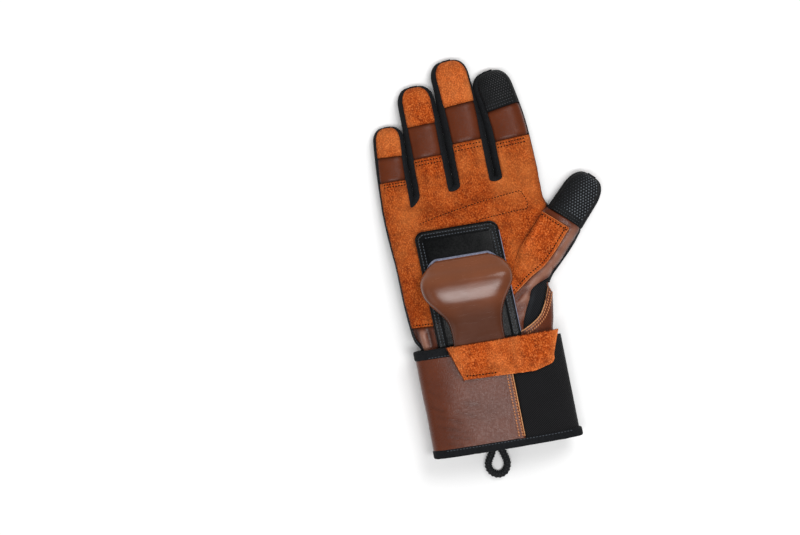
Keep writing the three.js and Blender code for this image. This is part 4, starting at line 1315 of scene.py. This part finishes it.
# The strap's rubber patch, bare, with an eased edge
def strapPatch():
    outline = strapOutline(strap["binding"] + cuff["seamGap"], strap["patchRight"])
    bm = bmesh.new()
    bm.verts.layers.float.new("shade")
    face = bm.faces.new([bm.verts.new((p.x, p.y, strap["patchWall"])) for p in outline])
    bm.normal_update()
    if face.normal.z < 0:
        face.normal_flip()
    grown = bmesh.ops.extrude_face_region(bm, geom=[face])
    bmesh.ops.translate(bm, verts=[v for v in grown["geom"] if isinstance(v, bmesh.types.BMVert)],
                        vec=(0, 0, -strap["patchWall"]))
    bmesh.ops.recalc_face_normals(bm, faces=bm.faces)
    low = [e for e in bm.edges if all(v.co.z < 0.01 for v in e.verts)]
    bmesh.ops.bevel(bm, geom=low, offset=0.5, offset_type="OFFSET", segments=3, profile=0.5, material=-1,
                    affect="EDGES")
    makeSkin(bm, "strap_patch", (rubber,))


backTrees.append(strapBinding())
strapPatch()
print("cuff and strap made")

# Palm pad
pad = {
    "thickness": 4.6, "reach": 77.2, "tuck": 9, "width": 55.5, "centre": -6.3, "lean": -4.2, "corner": 6,
    "sewIn": 2.3, "puff": 0.7,
}
padTop = cuff["length"] + pad["reach"]
padBottom = cuff["length"] - pad["tuck"]


def padX(y, lateral):
    share = (y - padBottom) / (padTop - padBottom)
    past = max(0, y - (padTop - pad["corner"])) / pad["corner"]
    half = pad["width"] / 2 - pad["corner"] * (1 - math.sqrt(max(0, 1 - past ** 2)))
    return pad["centre"] + pad["lean"] * (share - 0.1) + half * lateral


def palmTopZ(x, y):
    return handZ(x, y, 1) + cuff["gap"]


def makePad():
    columns, rows = 110, 150
    ys = spread(padBottom, padTop - pad["corner"], rows - 24)
    ys += [padTop - pad["corner"] * (1 - math.sin(math.radians(a))) for a in spread(0, 90, 24)][1:]
    half = pad["width"] / 2

    def placeAt(i, j):
        t = lerp(-1, 1, i / columns)
        lateral = math.copysign(1 - (1 - abs(t)) ** 1.2, t)
        y = ys[j]
        x = padX(y, lateral)
        inset = min((1 - abs(lateral)) * half, padTop - y)
        if padTop - y < pad["corner"] and (1 - abs(lateral)) * half < pad["corner"]:
            corner = Vector((pad["corner"] - (1 - abs(lateral)) * half, pad["corner"] - (padTop - y)))
            inset = max(0, pad["corner"] - corner.length)
        rim = 0.6 + 0.27 * (1 - (1 - clamp(inset / 1.5)) ** 2)
        groove = 0.3 * (smoothstep(inset, 1.4, 2.1) - smoothstep(inset, 5.2, 6.6))
        body = 0.06 * smoothstep(inset, 4, 14)
        lump = 0.1 * noise.fractal(Vector((x * 0.08, y * 0.08, 2)), 0.9, 2, 3)
        return Vector((x, y, palmTopZ(x, y) + pad["thickness"] * (rim + body) - groove + lump))
    bm = gridMesh(columns, rows, placeAt)
    sheet = bm.copy()
    thicken(bm, lambda v: Vector((v.co.x, v.co.y, palmTopZ(v.co.x, v.co.y) + 0.3)))
    piece = makeSkin(bm, "splint_pad", (blackLeather,))
    return sheet


padTree = makePad()
topTrees.append(padTree)

# Guard plate
plate = {"reach": 56.6, "tuck": 12, "width": 61, "wall": 2.2, "hump": 14, "roll": 1.1}
plateTop = cuff["length"] + plate["reach"]
plateBottom = cuff["length"] - plate["tuck"]
# Sections of the plate: along, left, right, hump
plateSections = [
    (0, -0.4, 0.175, 0.09), (0.12, -0.397, 0.168, 0.09), (0.22, -0.392, 0.163, 0.13),
    (0.32, -0.397, 0.165, 0.22), (0.42, -0.427, 0.18, 0.42), (0.52, -0.51, 0.222, 0.72),
    (0.62, -0.6, 0.288, 0.95), (0.7, -0.636, 0.342, 1.0), (0.78, -0.644, 0.356, 0.93),
    (0.85, -0.625, 0.338, 0.75), (0.92, -0.565, 0.28, 0.5), (0.97, -0.5, 0.2, 0.3),
    (1, -0.437, 0.128, 0.16),
]


def cuffTopZ(x, y):
    half = cuff["width"] / 2 + cuff["proud"]
    lateral = (x - cuffCentre(y)) / half
    return cuffMid + (cuff["height"] / 2 + cuff["proud"]) * crown(lateral, cuff["roundness"])


def plateSize(y, column):
    return tableAt(plateSections, (y - plateBottom) / (plateTop - plateBottom), column)


def plateX(y, lateral):
    return plate["width"] * lerp(plateSize(y, 1), plateSize(y, 2), (lateral + 1) / 2)


def plateSeat(x, y):
    padEdge = clamp(x, padX(y, -0.93), padX(y, 0.93))
    onPad = palmTopZ(padEdge, y) + pad["thickness"]
    onCuff = cuffTopZ(x, min(y, cuff["length"]))
    off = smoothstep(y, cuff["length"] + 2, cuff["length"] + 16)
    return lerp(max(onPad, onCuff), onPad, off) + cuff["gap"]


def plateHeight(y, lateral):
    seat = lerp(plateSeat(plateX(y, -1), y), plateSeat(plateX(y, 1), y), (lateral + 1) / 2)
    return seat + plate["wall"] + plate["hump"] * plateSize(y, 3) * crown(lateral, 4.6)


# The stem rises in one slope from under the flap, bends, and runs on nearly level over the hump
def platePoint(y, lateral):
    start, bend, crest, end = [cuff["length"] + at for at in (-5, 27.5, 36, 50)]
    z = plateHeight(y, lateral)
    if start - 5 < y < end:
        low = plateHeight(start, lateral)
        rise = plateHeight((bend + crest) / 2, lateral) - low
        bendZ = low + rise * 0.9
        if y < bend:
            shaped = lerp(low, bendZ, (y - start) / (bend - start))
        else:
            t = (min(y, crest) - bend) / (crest - bend)
            shaped = bendZ + rise * (0.135 * t - 0.05 * t * t)
        z = lerp(z, shaped, smoothstep(y, start - 5, start + 3) * (1 - smoothstep(y, crest, end)))
    return Vector((plateX(y, lateral), y, z))


def makePlate():
    columns, rows = 64, 84

    def placeAt(i, j):
        t = math.sin(math.pi / 2 * lerp(-1, 1, i / columns))
        r = 0.5 + 0.5 * math.sin(math.pi / 2 * lerp(-1, 1, j / rows))
        y = lerp(plateBottom, plateTop, r)
        point = platePoint(y, t)
        inset = min((1 - abs(t)) * (plateX(y, 1) - plateX(y, -1)) / 2, plateTop - y)
        point.z -= plate["roll"] * (1 - smoothstep(inset, 0, 1.6)) ** 1.5
        return point
    bm = gridMesh(columns, rows, placeAt)
    shade = bm.verts.layers.float["shade"]
    # Painted shade down the stem, where the plate catches no highlight, and painted light over its upper part
    for v in bm.verts:
        v[shade] -= 0.22 * (1 - smoothstep(v.co.y, cuff["length"] + 14, cuff["length"] + 30))
        v[shade] += 0.12 * smoothstep(v.co.y, cuff["length"] + 38, cuff["length"] + 46)
    return makeSheet(bm, "guard_plate", plate["wall"] * 0.9, (mouldedPlate, lilacEdge), 1, 1)


topTrees.append(makePlate())

# Suede flap
flap = {"width": 74.5, "length": 24, "wall": 1.5, "margin": 6, "ragged": 0.85, "fibres": 520}
flapTop = cuff["length"] - cuff["gap"]
flapBottom = flapTop - flap["length"]
# Sections of the flap: share of its length, left, right
flapSections = [(0, -0.278, 0.35), (0.14, -0.294, 0.508), (0.4, -0.322, 0.54), (0.7, -0.356, 0.575),
                (1, -0.388, 0.612)]
flapLift = plate["wall"] + cuff["gap"] + plate["hump"] * plateSections[0][3]


def flapX(share, lateral):
    left = tableAt(flapSections, share, 1) * flap["width"]
    right = tableAt(flapSections, share, 2) * flap["width"]
    return lerp(left, right, (lateral + 1) / 2)


def makeFlap():
    columns, rows = 110, 40

    def placeAt(i, j):
        share = j / rows
        lateral = lerp(-1, 1, i / columns)
        y = lerp(flapBottom + 0.7 * (1 - lateral), flapTop, share)
        x = flapX(share, lateral)
        over = smoothstep(x, plateX(plateBottom, -1) - flap["margin"], plateX(plateBottom, -1))
        over *= smoothstep(-x, -plateX(plateBottom, 1) - flap["margin"], -plateX(plateBottom, 1))
        lift = flapLift * over * smoothstep(y, flapBottom + 1, plateBottom - 1.5)
        z = cuffTopZ(x, y) + cuff["gap"] + flap["wall"] + lift
        z += 0.4 + 0.35 * abs(noise.fractal(Vector((x * 0.09, y * 0.14, 4)), 0.9, 2, 3))
        edge = 0.3 * smoothstep(abs(lateral), 0.97, 1) + smoothstep(share, 0.93, 1)
        edge = min(edge + 0.25 * smoothstep(-share, -0.06, 0), 1)
        ragged = noise.fractal(Vector((x * 1.1, y * 0.6, 8)), 0.7, 2, 3) * flap["ragged"] * edge
        return Vector((x + ragged * 0.3, y + ragged, z))
    bm = gridMesh(columns, rows, placeAt)
    shade = bm.verts.layers.float["shade"]
    for v in bm.verts:
        up = v.co.y - flapBottom
        share = clamp(up / flap["length"])
        inset = min(v.co.x - flapX(share, -1), flapX(share, 1) - v.co.x, up)
        v[shade] = clamp(0.62 + 0.3 * (1 - smoothstep(inset, 0.2, 1.3)) + 0.12 * noise.noise(v.co * 0.2))
    return makeSheet(bm, "suede_flap", flap["wall"], (suede, suedeEdge), 1, 0)


topTrees.append(makeFlap())
print("pad, plate and flap made")

# Pull loop. The route repeats the cord's points, in millimetres.
loop = {"cord": 5.3, "around": 24, "step": 0.24, "braid": 0.7, "pitch": 2.0}
loopRoute = [Vector(p) for p in [
    (-9.2, -0.4, 6.4), (-9.35, -1.6, 6.35), (-10.7, -4.4, 5.8), (-12.3, -7.2, 4.9), (-13.5, -10.2, 3.9),
    (-13.5, -13.2, 3.2), (-12.1, -16.0, 2.9), (-9.6, -17.9, 2.8), (-6.6, -18.4, 2.8), (-3.8, -17.3, 2.8),
    (-1.9, -14.9, 3.0), (-1.1, -11.9, 3.5), (-1.4, -8.8, 4.4), (-2.2, -5.8, 5.4), (-3.1, -3.2, 6.1),
    (-3.45, -1.6, 6.35), (-3.5, -0.4, 6.4)]]


def makeLoop():
    line = splineLine(loopRoute, loop["step"])
    around = loop["around"]

    def placeAt(i, j):
        k = min(j, len(line) - 1)
        along = tangentAt(line, k).normalized()
        side = Vector((0, 0, 1)).cross(along).normalized()
        over = along.cross(side)
        turn = 2 * math.pi * (i % around) / around
        s = k * loop["step"] / loop["pitch"] * math.pi
        weave = abs(math.sin(turn * 2 + s)) ** 0.7 * abs(math.sin(turn * 2 - s)) ** 0.7
        radius = loop["cord"] / 2 - loop["braid"] * (1 - weave)
        # The shade gives the braid's crests a painted highlight and its grooves painted shade
        return line[k] + (side * math.cos(turn) + over * math.sin(turn)) * radius, 0.02 + 0.8 * weave
    bm = gridMesh(around, len(line) - 1, placeAt)
    closeTube(bm)
    piece = makeSkin(bm, "pull_loop", (cordCloth,))


makeLoop()
print("pull loop made")


# Stitches
def joinTree(parts):
    points = []
    faces = []
    for part in parts:
        start = len(points)
        part.verts.index_update()
        points += [v.co.copy() for v in part.verts]
        faces += [[start + v.index for v in face.verts] for face in part.faces]
    return BVHTree.FromPolygons(points, faces)


upTree = joinTree(palmTrees + topTrees + sideTrees)
downTree = joinTree(backTrees + topTrees + sideTrees)
padSurface = joinTree([padTree])


# Where a point lies on the palm side (1) or the back (-1), and which way the surface faces there
def drop(x, y, side=1, tree=None):
    tree = tree or (upTree if side > 0 else downTree)
    at, normal = tree.ray_cast(Vector((x, y, 90 * side)), Vector((0, 0, -side)))[:2]
    if at is not None and normal.z * side < 0:
        normal = -normal
    return at, normal


# Kinds of stitch: pitch, length, width, height, lean, how deep it sinks, side of the glove
stitches = {
    "palm": (2.0, 1.35, 0.75, 0.5, 0, 0, 1),
    "thumb": (2.0, 1.5, 0.95, 0.6, 0, 0, 1),
    "finger": (2.0, 1.4, 0.9, 0.6, 0, 0, 1),
    "flap": (2.1, 1.4, 0.9, 0.8, 0, -0.15, 1),
    "grip": (1.8, 1.2, 0.6, 0.6, 0, 0, 1),
    "side": (1.9, 1.2, 0.6, 0.5, 0, 0, 1),
    "wrap": (1.7, 1.7, 0.95, 0.8, 0.6, 0, 1),
    "cuff": (2.0, 1.7, 0.95, 0.8, 0.35, 0, 1),
    "rib": (1.9, 1.7, 0.95, 0.8, 0.6, 0, -1),
    "pad": (2.0, 1.5, 0.55, 0.5, 0, 0.02, 1),
    "hem": (2.1, 1.5, 0.5, 0.45, 0, 0, 1),
    "strap": (2.1, 1.5, 0.5, 0.3, 0, 0.05, -1),
}


def stitchRow(kind, line, tree=None):
    pitch, long, wide, tall, lean, sink, side = stitches[kind]
    points = splineLine([Vector((p[0], p[1])) for p in line], pitch)
    made = []
    for a, b in zip(points, points[1:]):
        middle = a.lerp(b, 0.5)
        at, normal = drop(middle.x, middle.y, side, tree)
        if at is None:
            continue
        along = (b - a).normalized()
        turned = along * math.cos(lean) + Vector((-along.y, along.x)) * math.sin(lean)
        direction = Vector((turned.x, turned.y, 0))
        direction = (direction - normal * direction.dot(normal)).normalized()
        wobble = 1 + random.uniform(-0.12, 0.12)
        made.append(frameAt(at - normal * sink, direction, normal, (long * wobble, wide, tall)))
    return made


def shifted(line, distance):
    made = []
    for k, p in enumerate(line):
        along = tangentAt(line, k).normalized()
        made.append(p + Vector((-along.y, along.x)) * distance)
    return made


def between(line, a, b):
    return line[round(a * (len(line) - 1)):round(b * (len(line) - 1)) + 1]


# A line down the palm side of the cuff, beside its seam
def seamColumn(inset):
    return [Vector((cuff["seamX"] + cuffCentre(y) - inset, y)) for y in spread(6.6, 48, 4)]


# Loose fibres along the flap's torn upper edge and its left side
def flapFringe():
    made = []
    for k in range(flap["fibres"]):
        onSide = k % 4 == 0
        share = random.uniform(0, 1) if onSide else 1
        lateral = -1 if onSide else random.uniform(-1, 1)
        x = flapX(share, lateral)
        y = lerp(flapBottom + 1.4, flapTop, share)
        at, normal = drop(x + (0.9 if lateral == -1 else 0), y - (0.9 if share == 1 else 0))
        if at is None:
            continue
        lean = random.uniform(-0.9, 0.9) + (1.57 if lateral == -1 and share < 1 else 0)
        along = Vector((-math.sin(lean), math.cos(lean), random.uniform(-0.5, 0.3)))
        spot = Vector((x, y, at.z - random.uniform(0.1, 1.2))) + along * random.uniform(0, 0.25)
        made.append(frameAt(spot, along, Vector((0, 0, 1)), (random.uniform(0.9, 1.9), 0.26, 0.26)))
    return made


def acrossDigit(digit, share, reach):
    return [digit(share, lateral, 1).xy for lateral in spread(-reach, reach, 6)]


stitchForm = ballTemplate(8, 5)
# Sewing rows in the palm, as lines of x and y
sewRows = [
    [(-33, 154.4), (-19, 157.7), (4.9, 161.8), (29.3, 164.9), (36.6, 165.5)],
    [(36.6, 165.5), (39.7, 158.1), (39.3, 153)],
    [(39.3, 153), (28.7, 152.7), (14, 151.5), (4, 150.4)],
]
dark = []
for row in sewRows:
    dark += stitchRow("palm", row)
dark += stitchRow("thumb", shifted(suedeLine[firstCorner:outerCorner + 1], -1.9))
dark += stitchRow("thumb", shifted(suedeLine[outerCorner:lastCross], -2.2))
for f in range(4):
    for below in (0.022, 0.05):
        dark += stitchRow("finger", acrossDigit(digits[f], hand["seamLow"] - below, 0.7))
black = []
for digit, share in ((digits[3], hand["seamHigh"] + 0.02), (digits[3], hand["seamHigh"] + 0.045),
                     (thumbDigit, 0.06), (thumbDigit, 0.13)):
    black += stitchRow("grip", acrossDigit(digit, share, 0.72))
dark += stitchRow("finger", shifted(lines["heel"][:round(len(lines["heel"]) * 0.55)], 1.6))
dark += stitchRow("flap", [(-19.5, 51.6), (-8, 51.0), (1, 50.7)])
scatter("dark_stitches", stitchForm, dark, blackThread)
scatter("flap_fringe", ballTemplate(5, 4), flapFringe(), suede)
black += stitchRow("side", [(sideX(y, "left") + 1.0, y)
                            for y in spread(cuff["length"] + 4, cuff["length"] + 92, 30)])
scatter("black_stitches", stitchForm, black, darkThread)

orange = []
for offset in (1.5, 3.4):
    orange += stitchRow("wrap", shifted(between(lines["wrap"], 0.22, 0.8), offset))
for inset in (1.6, 3.9):
    orange += stitchRow("cuff", seamColumn(inset))
ribSeam = [p for p in lines["rib"] if p.y > cuff["length"] + 1 and p.x > -54]
for offset in (1.4, 3.2):
    orange += stitchRow("rib", shifted(ribSeam, offset))
scatter("orange_stitches", stitchForm, orange, orangeThread)

grey = []
for inset in (pad["sewIn"], pad["sewIn"] + 2.2):
    for side in (-1, 1):
        lateral = side * (1 - inset / (pad["width"] / 2))
        ys = spread(cuff["length"] + 1, padTop - inset - 2.5, 20)
        grey += stitchRow("pad", [(padX(y, lateral), y) for y in ys], padSurface)
    reach = 1 - 2 * inset / pad["width"] - 0.06
    grey += stitchRow("pad", [(padX(padTop - pad["corner"] - 2, lateral), padTop - inset)
                              for lateral in spread(-reach, reach, 12)], padSurface)
scatter("pad_stitches", stitchForm, grey, greyThread)

hemRow = []
for y, left, right in ((cuff["hem"] - 1.1, -40, 44), (cuff["length"] - cuff["topBinding"] + 1.2, -42, -27.5)):
    hemRow += stitchRow("hem", [(left, y), ((left + right) / 2, y), (right, y)])
hemRow += stitchRow("strap", strapOutline(strap["binding"] * 0.75, strapX - 4))
scatter("binding_stitches", stitchForm, hemRow, greyThread)


# Rounded pale strips along cut edges
def edgeStrip(name, line, width, height, mat, side=1, tree=None):
    points = splineLine([Vector((p[0], p[1])) for p in line], 0.9)
    hits = [drop(p.x, p.y, side, tree) for p in points]
    hits = [hit for hit in hits if hit[0] is not None]
    heights = [at.z for at, normal in hits]
    for _ in range(2):
        windows = [heights[max(k - 1, 0):k + 2] for k in range(len(heights))]
        heights = [sum(window) / len(window) for window in windows]
    spots = [Vector((at.x, at.y, z)) for (at, normal), z in zip(hits, heights)]
    around = 8

    def placeAt(i, j):
        normal = hits[j][1]
        across = tangentAt(spots, j).normalized().cross(normal).normalized()
        turn = 2 * math.pi * i / around
        wobble = 1 + 0.35 * noise.noise(spots[j] * 0.9 + Vector((i % around, 0, 3)))
        out = across * math.cos(turn) * width / 2 + normal * math.sin(turn) * height * side
        return spots[j] + out * wobble
    bm = gridMesh(around, len(spots) - 1, placeAt)
    closeTube(bm)
    makePiece(bm, name, (mat,))


edgeStrip("wrap_edge", between(lines["wrap"], 0.24, 0.82), 0.9, 0.45, rawEdge)
edgeStrip("cuff_seam_edge", seamColumn(0.35), 0.8, 0.5, rawEdge)
edgeStrip("rib_edge", shifted(ribSeam, 0.3), 0.8, 0.4, rawEdge, side=-1)
edgeStrip("thumb_suede_edge", shifted(suedeLine[firstCorner:lastCross - 2], -0.15), 0.55, 0.3, suedeEdge)
edgeStrip("pad_edge", [(padX(y, 0.995), y) for y in spread(cuff["length"] + 2, padTop - 7, 12)],
          0.7, 0.3, lilacEdge, tree=padSurface)


# The plate's cut edge shows as a pale strip along its top and round both corners
def plateEdge():
    sides = [(y, -1) for y in spread(plateTop - 4, plateTop, 8)][:-1]
    sides += [(plateTop, lateral) for lateral in spread(-1, 1, 20)]
    sides += [(y, 1) for y in spread(plateTop, plateTop - 3, 8)][1:]
    spots = splineLine([platePoint(y, lateral) for y, lateral in sides], 0.8)
    last = len(spots) - 1
    rows = 6

    def placeAt(i, j):
        along = tangentAt(spots, i)
        out = Vector((-along.y, along.x, 0)).normalized()
        turn = math.radians(lerp(0, 110, j / rows))
        wide = 1.9 * math.sqrt(clamp(min(i, last - i) / 7, 0.04, 1))
        point = spots[i] + out * (wide * math.sin(turn) - 0.5)
        point.z -= plate["roll"] + 1.6 * (1 - math.cos(turn))
        return point
    bm = gridMesh(last, rows, placeAt)
    thicken(bm, 0.6)
    makePiece(bm, "plate_edge", (lilacEdge,))


plateEdge()

# Raised dots of the grip patches
dotForm = ballTemplate(8, 6)


def gripRows(digit, lowShare, highShare, pitch, size):
    made = []
    length = (digit(highShare, 0, 1) - digit(lowShare, 0, 1)).length
    rows = round(length / (pitch * 0.87))
    for j in range(rows + 1):
        share = lerp(lowShare, highShare, j / rows)
        wide = (digit(share, 0.8, 1).xy - digit(share, -0.8, 1).xy).length
        count = int(wide / pitch)
        for i in range(-count // 2, count // 2 + 1):
            lateral = (i + 0.5 * (j % 2)) * pitch / wide * 1.6
            if abs(lateral) > 0.78:
                continue
            p = digit(share, lateral, 1)
            at, normal = drop(p.x, p.y)
            if at is not None:
                along = Vector((1, 0, 0)) - normal * normal.x
                grow = lerp(0.3, 1.12, smoothstep(lateral, -0.75, 0.15))
                made.append(frameAt(at, along, normal, (size * grow, size * grow, 0.5)))
    return made


dots = gripRows(thumbDigit, 0.2, 0.95, 2.0, 1.0)
scatter("grip_dots", dotForm, dots, gripDots)
tipDots = gripRows(digits[3], hand["seamHigh"] + 0.07, 0.95, 1.7, 0.8)
scatter("index_grip_dots", dotForm, tipDots, darkDots)
print("stitches made", len(dark), len(orange), len(grey), len(dots))

# Floor and light

# Lamps: name, place, aim, width, depth, power
lamps = [
    ("overhead", (0.0, -0.34, 1.9), (-0.02, -0.03, 0), 1.1, 0.36, 22),
    ("key", (0.55, 0.6, 1.4), (0, 0, 0), 0.7, 0.7, 11),
    ("side", (-1.2, -0.5, 1.0), (0, 0, 0), 0.9, 0.9, 2),
]


def makeStage():
    scene = bpy.context.scene
    scene.view_settings.view_transform = "Standard"
    mesh = bpy.data.meshes.new("floor")
    bm = bmesh.new()
    bmesh.ops.create_grid(bm, x_segments=2, y_segments=2, size=3)
    bm.to_mesh(mesh)
    bm.free()
    floor = addToScene("floor", mesh)
    floor.location.z = -0.0005
    mesh.materials.append(newMaterial("floor", Roughness=0.9, Base_Color=(0.92, 0.92, 0.92, 1))[0])
    world = bpy.data.worlds.new("soft room")
    world.use_nodes = True
    sky = world.node_tree.nodes["Background"]
    sky.inputs[0].default_value = (1, 1, 1, 1)
    sky.inputs[1].default_value = 0.28
    scene.world = world
    for name, spot, aim, wide, deep, power in lamps:
        data = bpy.data.lights.new(name, "AREA")
        data.shape = "RECTANGLE"
        data.size = wide
        data.size_y = deep
        data.energy = power
        lamp = addToScene(name, data)
        lamp.location = spot
        lamp.rotation_euler = (Vector(spot) - Vector(aim)).to_track_quat("Z", "Y").to_euler()


makeStage()
